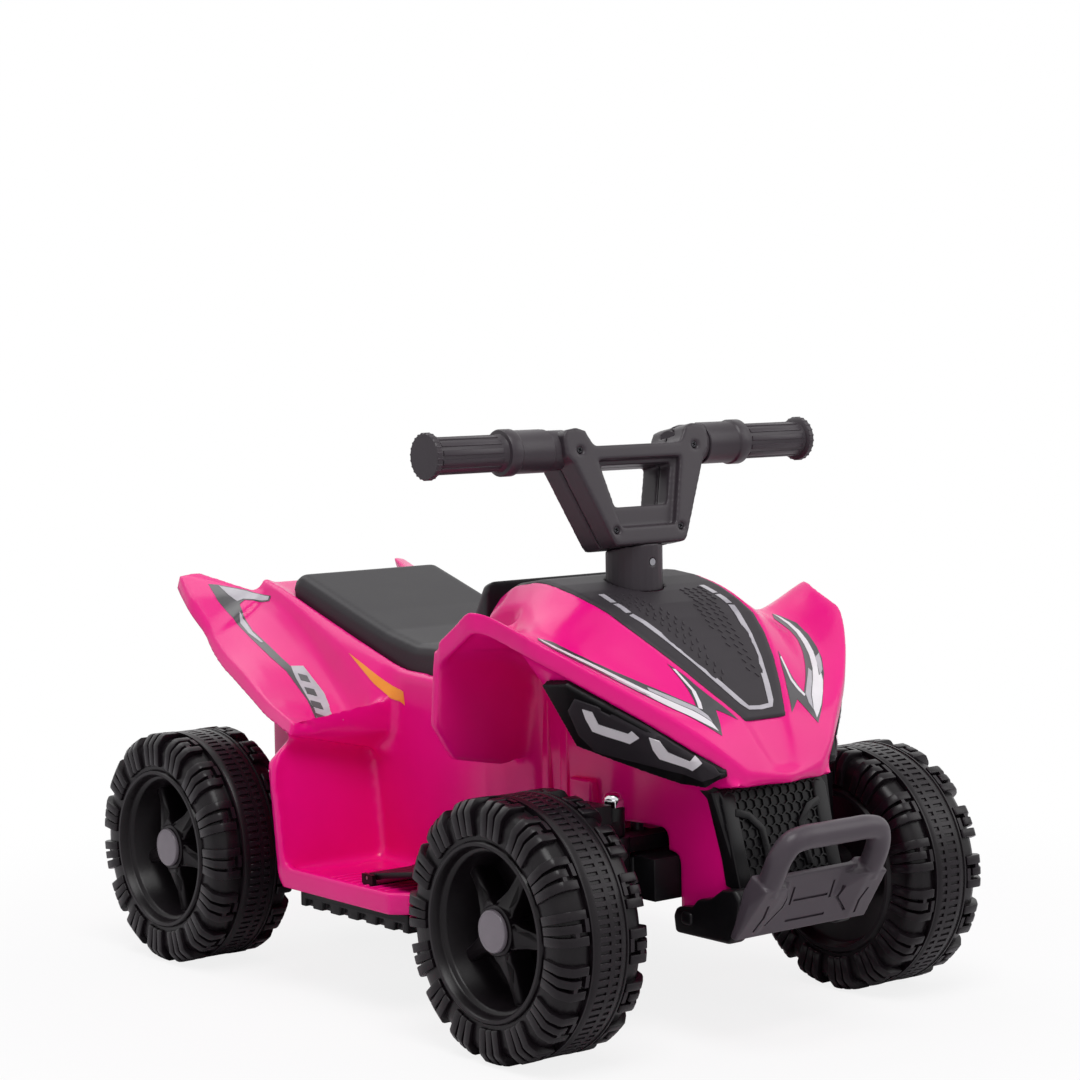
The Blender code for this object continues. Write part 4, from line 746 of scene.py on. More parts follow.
    def dense(self, length: float) -> "Form":
        """Split the faces until no edge is longer than a length.

        Args:
            length: that length.

        Returns:
            The form itself.
        """
        self.edit()
        bpy.ops.mesh.quads_convert_to_tris()
        self.leave()
        for _ in range(7):
            spans = [(self.obj.data.vertices[a].co - self.obj.data.vertices[b].co).length
                     for a, b in (edge.vertices for edge in self.obj.data.edges)]
            if max(spans) < length:
                break
            self.edit("EDGE")
            bpy.ops.mesh.select_all(action="DESELECT")
            mesh = self.live()
            for edge in mesh.edges:
                edge.select = edge.calc_length() >= length
            mesh.select_flush_mode()
            bmesh.update_edit_mesh(self.obj.data)
            bpy.ops.mesh.subdivide(number_cuts=1, quadcorner="INNERVERT")
            bpy.ops.mesh.select_all(action="SELECT")
            bpy.ops.mesh.quads_convert_to_tris()
            self.leave()
        return self

    def laid(self, target: "Form", lift: float, thickness: float) -> "Form":
        """Lay a flat shape on another form's surface and give it a thickness.

        Args:
            target: what it lies on.
            lift: how far its underside is from that surface; below zero it is sunk.
            thickness: how thick it stands.

        Returns:
            The form itself.
        """
        self.modified("SHRINKWRAP", target=target.obj, wrap_method="NEAREST_SURFACEPOINT",
                      wrap_mode="ABOVE_SURFACE", offset=lift + thickness)
        self.facing(target)
        return self.modified("SOLIDIFY", thickness=thickness, offset=-1.0)

    def facing(self, target: "Form") -> None:
        """Turn an open sheet's faces the way that the surface under it faces.

        Args:
            target: the form that the sheet lies on.
        """
        total = 0.0
        for face in list(self.obj.data.polygons)[:40]:
            found, _, normal, _ = target.obj.closest_point_on_mesh(face.center)
            total += normal.dot(face.normal) if found else 0.0
        if total < 0:
            self.flip()

    def done(self, name: str, skin: Skin, body: str, *stands_for: str, smooth: float = 35.0) -> "Form":
        """Finish the piece: name, shading, material, body and the frame nodes that it replaces.

        Args:
            name: the piece's name.
            skin: its finish.
            body: the frame body that carries it.
            stands_for: the frame nodes that it replaces.
            smooth: the angle under which faces shade as one.

        Returns:
            The form itself.
        """
        self.only()
        self.obj.name = name
        self.obj.data.name = name
        self.obj.data.materials.clear()
        self.obj.data.materials.append(skin.finish.material())
        bpy.ops.object.shade_smooth_by_angle(angle=math.radians(smooth))
        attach(self.obj, body)
        if stands_for:
            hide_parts(*stands_for)
        LOG.info("%s: %d faces on %s", name, len(self.obj.data.polygons), body)
        return self


def dressed(name: str, skin: Skin) -> None:
    """Give a frame node that stays in view its finish.

    Args:
        name: the node's name.
        skin: the finish.
    """
    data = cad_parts[name].data
    data.materials.clear()
    data.materials.append(skin.finish.material())
    LOG.info("%s: frame node dressed as %s", name, skin.name.lower())


def corners_of(name: str) -> tuple[Vector, Vector, Vector]:
    """The low and high corner of a frame node's box, and its middle."""
    low, high = (Vector(corner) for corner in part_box(name))
    return low, high, (low + high) / 2


def mirrored(points: Sequence[Triple], side: Side) -> list[Vector]:
    """Points in millimetres given for the left side, put on the side asked for."""
    return [millimetres(side.value * x, u, z) for x, u, z in points]


def doubled(points: Sequence[Triple]) -> list[Vector]:
    """Points in millimetres down the left side, then their mirror images back up the right side."""
    return mirrored(points, Side.LEFT) + mirrored(points, Side.RIGHT)[::-1]


# Printed films


@dataclass(frozen=True)
class Film:
    """A printed film on the body.

    Attributes:
        name: the piece's name without its side.
        skin: its finish.
        layer: one on the body itself, two or more on other films.
        outline: its corners in millimetres on the left side, measured behind the front axle.
    """

    name: str
    skin: Skin
    layer: int
    outline: tuple[Triple, ...]


# The flash and the dart of a front fender, the band down a rear fender and the saddle's accent.
FILMS = (
    Film("flash_keyline", Skin.INK, 1, (
        (118.3, 46.0, 295.0), (120.7, 41.8, 294.9), (121.2, 35.5, 293.5), (121.8, 22.8, 290.4),
        (116.5, 4.2, 282.8), (108.7, -13.0, 274.9), (101.2, -26.1, 267.4), (90.1, -39.5, 257.7),
        (76.1, -52.8, 247.3), (62.0, -65.3, 236.9), (48.0, -75.2, 226.3), (46.0, -69.3, 234.4),
        (50.9, -57.5, 244.9), (65.7, -44.8, 253.9), (80.6, -29.2, 262.9), (93.5, -12.8, 270.9),
        (102.4, 2.0, 277.5), (107.8, 16.0, 283.3), (110.2, 28.0, 287.5), (111.8, 37.4, 290.5),
    )),
    Film("flash_blade", Skin.WHITE, 2, (
        (118.2, 45.3, 294.8), (119.4, 39.4, 293.8), (118.5, 27.0, 290.3), (115.2, 12.2, 285.0),
        (109.3, -2.2, 278.6), (102.4, -15.7, 271.7), (93.7, -28.6, 264.3), (83.8, -40.6, 255.8),
        (87.7, -39.3, 257.3), (82.3, -46.4, 252.6), (73.4, -54.8, 245.1), (61.0, -65.2, 237.0),
        (49.2, -72.8, 229.7), (50.9, -67.5, 235.7), (60.0, -56.5, 244.0), (74.7, -42.7, 252.9),
        (85.1, -32.3, 260.2), (94.7, -19.5, 268.0), (102.7, -5.7, 275.4), (111.0, 11.8, 283.4),
        (115.2, 25.5, 288.7), (117.6, 38.5, 292.9),
    )),
    Film("flash_wedge", Skin.SILVER, 2, (
        (80.7, -31.9, 260.5), (81.4, -34.7, 258.1), (72.0, -44.7, 252.1), (58.8, -56.7, 244.1),
        (50.2, -67.5, 235.7), (50.3, -63.2, 239.8), (54.5, -55.6, 245.9), (65.7, -46.0, 252.7),
    )),
    Film("flash_chip", Skin.SILVER, 2, (
        (97.2, -22.8, 267.4), (104.1, -19.9, 270.6), (97.9, -29.1, 265.3), (91.9, -36.2, 259.9),
        (84.6, -41.0, 255.8), (92.5, -30.3, 263.2),
    )),
    Film("dart_keyline", Skin.INK, 1, (
        (55.5, -25.6, 275.1), (53.4, -35.1, 266.4), (52.1, -43.4, 258.2), (52.5, -50.1, 251.4),
        (54.2, -55.6, 246.0), (50.6, -63.8, 239.2), (48.1, -72.5, 230.1), (48.0, -75.2, 226.3),
        (44.2, -69.3, 234.6), (40.7, -60.8, 243.0), (26.9, -69.7, 235.7), (33.6, -59.6, 245.5),
        (43.0, -45.8, 258.0), (48.6, -36.0, 266.9),
    )),
    Film("dart_line", Skin.WHITE, 2, (
        (54.4, -29.7, 271.7), (50.0, -45.5, 256.7), (51.4, -52.1, 249.7), (53.4, -56.7, 245.1),
        (50.9, -58.2, 244.2), (48.6, -53.8, 248.6), (47.4, -47.0, 255.8), (52.4, -31.0, 270.9),
    )),
    Film("tail_band", Skin.INK, 1, (
        (109.4, 511.4, 303.3), (104.3, 504.5, 302.8), (90.6, 479.9, 299.0), (84.4, 451.4, 295.4),
        (87.8, 449.9, 291.9), (97.5, 472.4, 291.1), (102.8, 472.3, 287.9), (109.0, 455.1, 279.0),
        (113.1, 438.9, 271.6), (113.8, 420.3, 263.2), (116.5, 392.0, 254.4), (116.0, 375.7, 245.6),
        (118.9, 354.7, 234.2), (124.1, 324.1, 218.5), (143.0, 284.2, 212.0), (128.8, 333.6, 223.7),
        (122.1, 373.6, 241.5), (122.5, 397.0, 253.1), (118.9, 430.2, 263.9), (116.9, 449.2, 272.1),
        (114.6, 468.2, 279.5), (114.0, 489.6, 291.0),
    )),
    Film("tail_wedge", Skin.SILVER, 2, (
        (104.4, 502.5, 301.9), (91.4, 478.7, 298.1), (84.8, 453.4, 294.7), (87.5, 452.1, 292.6),
        (97.4, 474.1, 291.8), (102.5, 476.4, 290.0), (104.7, 487.5, 295.4),
    )),
    Film("tail_fleck", Skin.SILVER, 2, (
        (107.6, 465.1, 282.8), (110.2, 454.7, 278.1), (114.2, 436.6, 269.9), (115.1, 418.4, 261.5),
        (116.5, 419.8, 261.2), (116.8, 438.7, 269.0), (113.8, 455.7, 276.0),
    )),
    Film("tail_plate", Skin.SILVER, 2, (
        (115.8, 376.1, 246.0), (108.3, 369.3, 245.9), (112.0, 334.7, 227.8), (130.2, 281.9, 210.8),
        (143.4, 285.3, 212.6), (130.5, 321.5, 215.5), (120.3, 362.8, 236.5),
    )),
    Film("saddle_accent", Skin.ORANGE, 1, (
        (88.1, 329.7, 255.9), (88.9, 290.3, 241.3), (86.6, 262.0, 231.0), (90.3, 259.0, 220.5),
        (93.0, 289.4, 235.0),
    )),
)


# Sub-assemblies


@dataclass
class Bodywork:
    """The pink shell with its printed stripes, the black hood cover, the saddle and the underbody."""

    cell: float = 0.0019
    skin: float = 0.0020
    front_lip: Pair = (-1.0, 16.0)
    rear_lip: Pair = (4.0, 11.0)
    guide_reach: float = 0.0060
    triangles_kept: float = 0.27
    board_ribs: int = 9
    film: float = 0.00025
    film_gap: float = 0.00012
    film_cell: float = 0.0035
    ribbon_cell: float = 0.0040
    ribbon_gap: float = 0.0001
    slashes: int = 4
    slash_start: float = 0.10
    slash_run: float = 0.80
    slash_width: float = 0.10
    slash_lean: float = 0.06
    slash_reach: Pair = (0.22, 0.84)
    dash: Triple = (0.0016, 0.0046, 0.0012)
    dash_rows: int = 5
    dash_columns: int = 16
    dash_turn: float = 24.0
    dash_origin: Pair = (0.0455, 0.0500)
    dash_pitch: Pair = (0.0066, 0.0062)
    dash_stagger: float = 0.0016
    dash_taper: float = 0.0018
    # In millimetres: the width of the stripe round the hood cover. Then a foot board's ribs: where the
    # first one stands, their pitch, half their width, their two ends across, and their foot and head.
    stripe_width: float = 5.2
    board_start: float = 178.0
    board_pitch: float = 9.0
    board_half: float = 1.3
    board_span: Pair = (116.0, 166.0)
    board_rise: Pair = (89.5, 93.2)
    # The ribs of the front arches in millimetres: behind the axle, foot, head and out from the middle.
    # Their section is (out from there, half the width) at the root and at the crest. The pad beside them
    # is given by two corners.
    arch_ribs: tuple = ((99.0, 120.0, 238.0, 70.0), (80.0, 120.0, 226.0, 67.0))
    arch_section: tuple = ((-4.0, 6.0), (1.2, 4.2))
    arch_pad: tuple = ((58.0, 45.0, 158.0), (71.0, 71.0, 183.0))
    # The stripe's path and the two dashes that go on from it, in millimetres.
    stripe: tuple = ((50.4, 20.0, 307.5), (46.8, 10.0, 301.9), (39.6, -10.0, 287.7), (30.7, -30.0, 272.2),
                     (20.4, -50.0, 255.7), (14.2, -61.0, 246.6), (10.8, -65.0, 243.2), (0.0, -65.8, 242.5))
    stripe_ends: tuple = (("dash", ((50.6, 22.6, 308.6), (51.2, 36.2, 314.3))),
                          ("end", ((51.3, 38.8, 315.4), (50.6, 54.0, 320.3))))
    # Cross-sections in millimetres: the distance behind the axle, then (x, above the axle) of the hood's or
    # saddle's rim, the bulge beside it, the valley and the fender's ridge.
    front_sections: tuple = (
        (-90.9, (10.8, 105.7), (18.0, 106.5), (28.0, 106.2), (37.7, 106.0)),
        (-85.0, (14.8, 116.7), (24.0, 117.5), (36.0, 117.5), (51.0, 118.3)),
        (-70.0, (22.0, 140.9), (36.0, 139.5), (50.0, 138.5), (73.6, 138.5)),
        (-50.0, (36.1, 160.2), (50.0, 157.0), (70.0, 153.0), (101.3, 160.2)),
        (-30.0, (48.4, 178.2), (62.0, 174.0), (84.0, 166.0), (123.2, 177.1)),
        (-10.0, (58.5, 193.6), (73.0, 187.0), (96.0, 177.0), (141.6, 192.0)),
        (10.0, (65.8, 206.6), (80.0, 199.0), (106.0, 186.0), (155.9, 204.4)),
        (30.0, (67.9, 216.3), (85.0, 205.0), (110.0, 193.0), (159.7, 211.6)),
        (50.0, (70.4, 223.2), (88.0, 212.0), (113.0, 199.0), (164.0, 218.7)),
        (61.5, (71.0, 226.5), (89.0, 214.0), (115.0, 201.0), (169.5, 221.0)),
        (80.0, (71.3, 230.7), (90.0, 215.0), (113.0, 197.0), (169.5, 209.0)),
        (101.0, (69.3, 233.2), (88.0, 215.0), (105.0, 189.0), (169.5, 195.0)),
    )
    rear_sections: tuple = (
        (-150.0, (77.8, 159.2), (83.0, 155.0), (118.0, 102.0), (172.8, 117.3)),
        (-98.0, (78.3, 175.2), (85.0, 172.0), (101.0, 139.0), (161.5, 127.0)),
        (-45.0, (78.3, 192.2), (84.0, 189.0), (91.0, 173.0), (150.0, 144.0)),
        (1.0, (77.8, 207.2), (82.0, 205.0), (86.0, 196.0), (140.5, 158.0)),
        (23.0, (75.3, 211.7), (80.0, 210.2), (84.0, 202.0), (135.5, 168.0)),
    )
    bead_radius: float = 0.0030
    bead_path: tuple = ((183.4, 92.6, 98.0), (183.5, 98.4, 140.0), (183.5, 102.6, 174.0),
                        (177.5, 104.4, 184.5), (160.0, 105.6, 197.2))
    tail_wall: float = 0.2771
    tail_depth: float = 0.0045
    tail_cut: float = 0.0120
    tail_corner: float = 0.0060
    tail_flare: float = 0.0020
    tail_rows: tuple = ((0.042, 0.122, 0.160), (0.045, 0.170, 0.208), (0.048, 0.218, 0.256))
    shell: Form | None = field(default=None, init=False)

    def build(self) -> None:
        """Build every piece of the bodywork."""
        self.build_shell()
        for side in Side:
            for film in FILMS:
                self.print_film(film, side)
            self.print_slashes(side)
        self.build_hood()
        self.build_saddle()
        tray = Form.copy_of("chassis_tray").bevelled(0.0012)
        tray.done("chassis_tray_moulded", Skin.SATIN, "chassis", "chassis_tray")

    def build_shell(self) -> None:
        """Round the shell's corners as blow moulding does, and add the ribs of its arches and foot boards."""
        fenders = ((self.front_sections, FRONT_AXLE_Y, self.front_lip),
                   (self.rear_sections, REAR_AXLE_Y, self.rear_lip))
        sheets = [self.fender_sheet(side, *fender) for side in Side for fender in fenders]
        guide = sheets[0].joined(*sheets[1:])
        self.shell = Form.copy_of("body_shell").without(self.tail_panels())
        self.shell.joined(*[self.bead(side) for side in Side])
        self.shell.moulded(guide, self.cell, self.skin, self.guide_reach, self.triangles_kept)
        self.shell.done("body_moulded", Skin.PINK, "chassis", "body_shell", smooth=60)
        for side in Side:
            self.build_ribs(side)

    def build_ribs(self, side: Side) -> None:
        """The upright ribs and the pad of a front arch, and the grip ribs of a foot board.

        Args:
            side: the side that they are on.
        """
        ribs = []
        for u, low, high, x in self.arch_ribs:
            corners = [(x + out, u - half, low) for out, half in self.arch_section]
            corners += [(x + out, u + half, low) for out, half in reversed(self.arch_section)]
            rib = Form.outline(mirrored(corners, side)).raised((0, 0, (high - low) / 1000))
            ribs.append(rib.bevelled(0.0009, 2))
        ribs.append(Form.block(*mirrored(self.arch_pad, side)).bevelled(0.0024, 3))
        for step in range(self.board_ribs):
            u = self.board_start + self.board_pitch * step
            places = zip(self.board_span, (u - self.board_half, u + self.board_half), self.board_rise)
            bar = Form.block(*mirrored(list(places), side))
            ribs.append(bar.bevelled(0.0007, 2))
        ribs[0].joined(*ribs[1:]).done(f"body_ribs_{side.word}", Skin.PINK, "chassis", smooth=50)

    def bead(self, side: Side) -> Form:
        """The rounded bead along the outer edge of a foot well's rear wall.

        Args:
            side: the foot well's side.

        Returns:
            The form.
        """
        path = [Vector((side.value * x, y, z)) / 1000 for x, y, z in self.bead_path]
        run = flowing(lengths(path), path, steps(lengths(path), 6))
        return Form.tube(run, self.bead_radius, Vector((0, 1, 0)), 16)

    def tail_panels(self) -> Form:
        """The cutter for the three panels that stiffen the flat wall at the tail, one over the other."""
        panels = []
        for width, low, high in self.tail_rows:
            corner, flare = self.tail_corner, self.tail_flare
            ring = [(width - corner, low), (width, low + corner), (width + flare, high - corner),
                    (width - 2 * flare, high)]
            ring += [(-x, z) for x, z in reversed(ring)]
            face = Form.outline([(x, self.tail_wall - self.tail_depth, z) for x, z in ring])
            panels.append(face.raised((0, self.tail_cut, 0)))
        return panels[0].joined(*panels[1:])

    def fender_sheet(self, side: Side, sections: Sequence[Sequence], axle: float, lip: Pair) -> Form:
        """A smooth sheet from the hood's or saddle's rim over the valley to a fender's ridge and its lip.

        Args:
            side: the side of the car.
            sections: the cross-sections that it runs through.
            axle: the Y that they are measured from.
            lip: how far the lip reaches outwards and down, in millimetres.

        Returns:
            The sheet.
        """
        rows = []
        for along, *points in sections:
            cross = [Vector((x, 0, z)) for x, z in points]
            row = flowing(lengths(cross), cross, steps(lengths(cross), 5))
            row.append(row[-1] + Vector((lip[0], 0, -lip[1])))
            rows.append([Vector((point.x, along, point.z)) for point in row])
        knots = [section[0] for section in sections]
        lines = [flowing(knots, [row[i] for row in rows], steps(knots, 5)) for i in range(len(rows[0]))]
        base, flip = Vector((0, axle, AXLE_Z)), Vector((side.value, 1, 1))
        return Form.net([[base + point * flip / 1000 for point in row] for row in zip(*lines)])

    def print_film(self, film: Film, side: Side) -> None:
        """Lay a printed film on the shell.

        Args:
            film: the film.
            side: the side that it is on.
        """
        sheet = Form.outline(mirrored(film.outline, side)).dense(self.film_cell)
        sheet.laid(self.shell, self.film_gap + self.film * (film.layer - 1), self.film)
        sheet.done(f"{film.name}_{side.word}", film.skin, "chassis", smooth=50)

    def print_slashes(self, side: Side) -> None:
        """The row of dark slashes across the tail's silver plate.

        Args:
            side: the side that they are on.
        """
        corners = next(film.outline for film in FILMS if film.name == "tail_plate")
        top_left, top_right, _, foot_right, foot_left = (Vector(corner) for corner in corners[:5])
        for number in range(self.slashes):
            start = self.slash_start + self.slash_run * number / self.slashes
            ends = []
            for share in (start, start + self.slash_width):
                left = top_left.lerp(foot_left, share)
                right = top_right.lerp(foot_right, share + self.slash_lean)
                ends.append([left.lerp(right, across) for across in self.slash_reach])
            outline = ends[0] + ends[1][::-1]
            self.print_film(Film(f"tail_slash_{number + 1}", Skin.INK, 3, tuple(map(tuple, outline))), side)

    def build_hood(self) -> None:
        """The hood cover with its raised rim, its grey stripe and the rows of embossed dashes."""
        cover = Form.copy_of("hood_cover").softened(0.0012, 4, 0.6)
        cover.done("hood_cover_moulded", Skin.MATT, "chassis", "hood_cover", smooth=60)
        left = [Vector(point) for point in self.stripe]
        right = [Vector((-x, u, z)) for x, u, z in self.stripe]
        self.ribbon(cover, "hood_stripe", left + right[-2::-1])
        for side in Side:
            for name, run in self.stripe_ends:
                path = [Vector((side.value * x, u, z)) for x, u, z in run]
                self.ribbon(cover, f"hood_stripe_{name}_{side.word}", path)
        for side in Side:
            self.emboss(cover, side)

    def ribbon(self, target: Form, name: str, path: Sequence[Vector]) -> None:
        """Lay a silver ribbon of even width on a surface.

        Args:
            target: the surface.
            name: the piece's name.
            path: the ribbon's middle line in millimetres, placed behind the front axle.
        """
        corners = strip(path, self.stripe_width, Vector((0, 0, 1)))
        sheet = Form.outline([millimetres(*corner) for corner in corners]).dense(self.ribbon_cell)
        sheet.laid(target, self.ribbon_gap, self.film).done(name, Skin.SILVER, "chassis", smooth=50)

    def dash_places(self) -> list[Pair]:
        """Where the embossed dashes stand inside the stripe, out from the middle and behind the axle."""
        places = []
        for row in range(self.dash_rows):
            for column in range(self.dash_columns):
                u = self.dash_origin[1] - self.dash_pitch[1] * column - self.dash_stagger * (row % 2)
                lean = column + 0.5 if column > 3 else column / 2
                x = self.dash_origin[0] - self.dash_pitch[0] * row - self.dash_taper * lean
                # The rows keep clear of the neck at their rear, and the inner ones end sooner at the nose.
                if x >= 0.010 + 0.0022 * max(0, 6 - column) and u >= -0.048 + 0.004 * row:
                    places.append((x, u))
        return places

    def emboss(self, target: Form, side: Side) -> None:
        """Rows of small raised dashes inside the stripe, modelled once and copied down each row.

        Args:
            target: the hood cover.
            side: the half of it that they are on.
        """
        corner = Vector(self.dash) / 2
        dash = Form.block(-corner, corner).bevelled(0.0005, 2)
        turn = Matrix.Rotation(math.radians(side.value * self.dash_turn), 4, "Z")
        copies = []
        for x, u in self.dash_places():
            found, place, normal, _ = target.obj.ray_cast(at(side.value * x, u, 0.40), Vector((0, 0, -1)))
            if found:
                upright = normal.to_track_quat("Z", "Y").to_matrix().to_4x4()
                copies.append(dash.twin().moved(Matrix.Translation(place) @ upright @ turn))
        bpy.data.objects.remove(dash.obj)
        copies[0].joined(*copies[1:]).done(f"hood_dashes_{side.word}", Skin.MATT, "chassis", smooth=40)

    def build_saddle(self) -> None:
        """The hard saddle, rounded along its edges."""
        saddle = Form.copy_of("seat").softened(0.0018, 8, 0.5)
        saddle.done("saddle_moulded", Skin.SEAT, "chassis", "seat", smooth=60)


@dataclass
class Nose:
    """The lamp panels, the honeycomb grille and the bumper."""

    cell: float = 0.0080
    web: float = 0.0011
    web_depth: float = 0.0016
    mesh_foot: float = 0.0385
    mesh_height: float = 0.0700
    mesh_half: float = 0.0475
    mesh_front: float = 0.0071
    # The foot and the head of the grille's slope: x, behind the front axle, and z.
    slope_ends: tuple = ((0.0, -0.0990, 0.083), (0.0, -0.0680, 0.189))
    # How much wider the honeycomb gets, from where on up the slope, and over what height.
    mesh_spread: Triple = (0.006, 0.034, 0.060)
    bar_depth: float = 0.0026
    loop_radius: float = 0.0089
    # A direction that the loop stands square to, the one that the plate faces, and how deep the plate is.
    loop_normal: Triple = (0.0, 0.91, 0.41)
    plate_normal: Triple = (0.0, -0.9247, -0.3806)
    plate_depth: Triple = (0.0, 0.0055, 0.0020)
    line_width: float = 0.0021
    line_depth: float = 0.0014
    line_clearance: float = 0.0100
    sheet_cell: float = 0.0040
    plate_sink: float = 0.0003
    plate_lift: float = 0.0011
    light_sink: float = 0.0002
    light_lift: float = 0.0009
    # Outlines and paths in millimetres: the left lamp's plate and light bars.
    lamp_plate: tuple = (
        (130.0, -11.0, 257.0), (120.0, -25.0, 252.0), (95.0, -50.0, 234.0), (70.0, -74.0, 214.0),
        (55.0, -84.0, 201.0), (62.5, -70.7, 195.1), (85.0, -38.0, 204.0), (106.5, -3.2, 214.5),
        (116.9, 2.1, 226.7), (129.0, -1.0, 246.0))
    lamp_bars: tuple = (
        ("upper", ((125.8, -13.8, 248.3), (122.0, -20.2, 246.5), (115.7, -19.3, 236.9), (102.8, -36.6, 230.5),
                   (102.7, -40.6, 232.9), (97.8, -43.1, 227.8), (98.4, -33.8, 222.9), (114.8, -11.8, 231.2),
                   (121.3, -12.1, 240.8))),
        ("lower", ((94.9, -50.4, 228.7), (89.8, -55.7, 225.9), (82.6, -56.8, 217.2), (71.7, -67.6, 210.7),
                   (70.5, -70.8, 213.8), (67.0, -75.2, 209.3), (68.1, -67.2, 203.6), (83.2, -48.3, 211.9),
                   (88.8, -47.8, 218.9))))
    # The grille's strut, as (forward, height), its two flat faces, and the bent bar, as (across, up the
    # slope), with the bar's width.
    strut: tuple = ((46.0, 190.0), (62.3, 179.6), (70.0, 158.3), (77.1, 138.3), (81.5, 119.0), (98.5, 116.0),
                    (90.8, 142.0), (79.5, 182.0), (70.0, 192.0))
    strut_faces: Pair = (51.6, 38.6)
    bent_bar: tuple = ((42.0, 89.5), (30.0, 86.0), (19.5, 75.0), (18.6, 58.0), (20.5, 44.0))
    bar_width: float = 6.2
    # The bumper's plate down its left edge, the corners of its left shoulder, and half of the tube loop.
    plate_edge: tuple = ((65.0, -105.6, 84.8), (64.0, -117.0, 112.5), (59.0, -123.9, 129.2))
    shoulder: tuple = (
        (64.6, -105.8, 85.2), (46.0, -106.4, 86.6), (23.5, -115.6, 108.0), (27.0, -122.4, 124.2),
        (41.0, -134.0, 123.6), (60.2, -134.0, 123.6), (60.2, -118.0, 133.4), (41.0, -118.0, 133.4),
        (64.2, -117.6, 111.5), (64.0, -101.5, 86.6), (46.0, -102.5, 88.0), (24.5, -111.0, 109.4),
        (62.5, -111.5, 122.0), (29.0, -116.0, 125.0))
    half_loop: tuple = ((50.2, -122.5, 121.5), (50.4, -130.2, 134.5), (48.8, -136.2, 147.6),
                        (43.0, -140.2, 156.8), (32.0, -141.3, 159.6), (16.0, -141.3, 159.8))
    # The plate's pressed lines: two across the middle, and three on each side.
    lines_across: tuple = (((-16.0, -115.6, 109.2), (16.0, -115.6, 109.2)),
                           ((-18.5, -109.2, 93.6), (18.5, -109.2, 93.6)))
    lines_aside: tuple = (((20.0, -119.6, 118.8), (20.0, -114.8, 107.1)),
                          ((28.5, -118.0, 115.1), (27.5, -114.0, 105.4), (39.2, -109.3, 94.0)),
                          ((49.5, -117.0, 112.7), (47.8, -112.8, 102.4), (50.4, -108.2, 91.2)))
    # The wing's outline from the side, as (behind the axle, height), and its two flat faces.
    wing: tuple = ((-36.0, 79.5), (-34.0, 92.0), (-37.0, 98.5), (-54.0, 101.0), (-60.0, 107.5),
                   (-74.0, 110.0), (-86.0, 118.0), (-100.0, 120.5), (-107.0, 112.0), (-103.5, 96.0),
                   (-99.0, 84.0), (-94.0, 79.5))
    wing_faces: Pair = (60.5, 45.5)
    # The block that joins the wing to the body, by two corners in millimetres.
    wing_tie: tuple = ((47.0, -56.0, 87.0), (62.4, -44.0, 97.0))

    def build(self) -> None:
        """Build the nose's pieces."""
        for side in Side:
            self.build_lamp(side)
        self.build_grille()
        self.build_bumper()

    def build_lamp(self, side: Side) -> None:
        """A lamp panel: its frame, the raised inner plate and two angular white light bars.

        Args:
            side: the lamp's side.
        """
        node_name = f"headlight_panel_{side.word}"
        panel = Form.copy_of(node_name).softened(0.0010, 4, 0.6)
        panel.done(f"lamp_panel_{side.word}", Skin.SATIN, "chassis", node_name, smooth=60)
        plate = Form.outline(mirrored(self.lamp_plate, side)).dense(self.sheet_cell)
        plate.laid(panel, -self.plate_sink, self.plate_lift + self.plate_sink)
        plate.bevelled(0.0004, 2, 60).done(f"lamp_plate_{side.word}", Skin.MATT, "chassis", smooth=40)
        for place, corners in self.lamp_bars:
            bar = Form.outline(mirrored(corners, side)).dense(self.sheet_cell)
            bar.laid(panel, self.plate_lift - self.light_sink, self.light_lift)
            bar.done(f"lamp_bar_{place}_{side.word}", Skin.WHITE, "chassis", smooth=40)

    def slope(self) -> Matrix:
        """The grille's own frame: x across, y to the back and z up its slope."""
        foot, head = (at(*end) for end in self.slope_ends)
        up = (head - foot).normalized()
        matrix = Matrix(((1, 0, 0), up.cross(Vector((1, 0, 0))), up)).transposed().to_4x4()
        matrix.translation = foot
        return matrix

    def cell_places(self, outer: float) -> list[Pair]:
        """Where the honeycomb's cells of a given outer radius stand, across and up the slope.

        Args:
            outer: a cell's outer radius.

        Returns:
            The places.
        """
        places = []
        widening, start, run = self.mesh_spread
        for row in range(int(self.mesh_height / (1.5 * outer))):
            z = self.mesh_foot + row * 1.5 * outer
            half = self.mesh_half + widening * min(1.0, (z - start) / run)
            count = int(half / self.cell)
            for column in range(-count - 1, count + 2):
                x = (column + 0.5 * (row % 2)) * self.cell
                if abs(x) + self.cell / 2 < half:
                    places.append((x, z))
        return places

    def build_grille(self) -> None:
        """The grille's honeycomb, one cell wall ring copied over the opening, on its backing plate."""
        outer, inner = self.cell / math.sqrt(3), (self.cell - self.web) / math.sqrt(3)
        turns = [math.tau * k / 6 for k in range(6)]
        ring = Form.outline([(outer * math.sin(turn), 0, outer * math.cos(turn)) for turn in turns])
        ring.edit()
        bpy.ops.mesh.inset(thickness=(outer - inner) * math.cos(math.pi / 6))
        bpy.ops.mesh.delete(type="FACE")
        bpy.ops.mesh.select_all(action="SELECT")
        ring.leave()
        ring.modified("SOLIDIFY", thickness=self.web_depth, offset=0.0)
        cells = [ring.twin().moved(self.slope() @ Matrix.Translation((x, -self.mesh_front, z)))
                 for x, z in self.cell_places(outer)]
        bpy.data.objects.remove(ring.obj)
        cells[0].joined(*cells[1:]).done("grille_honeycomb", Skin.SATIN, "chassis", smooth=30)
        dressed("grille", Skin.SATIN)
        for side in Side:
            self.build_frame(side)

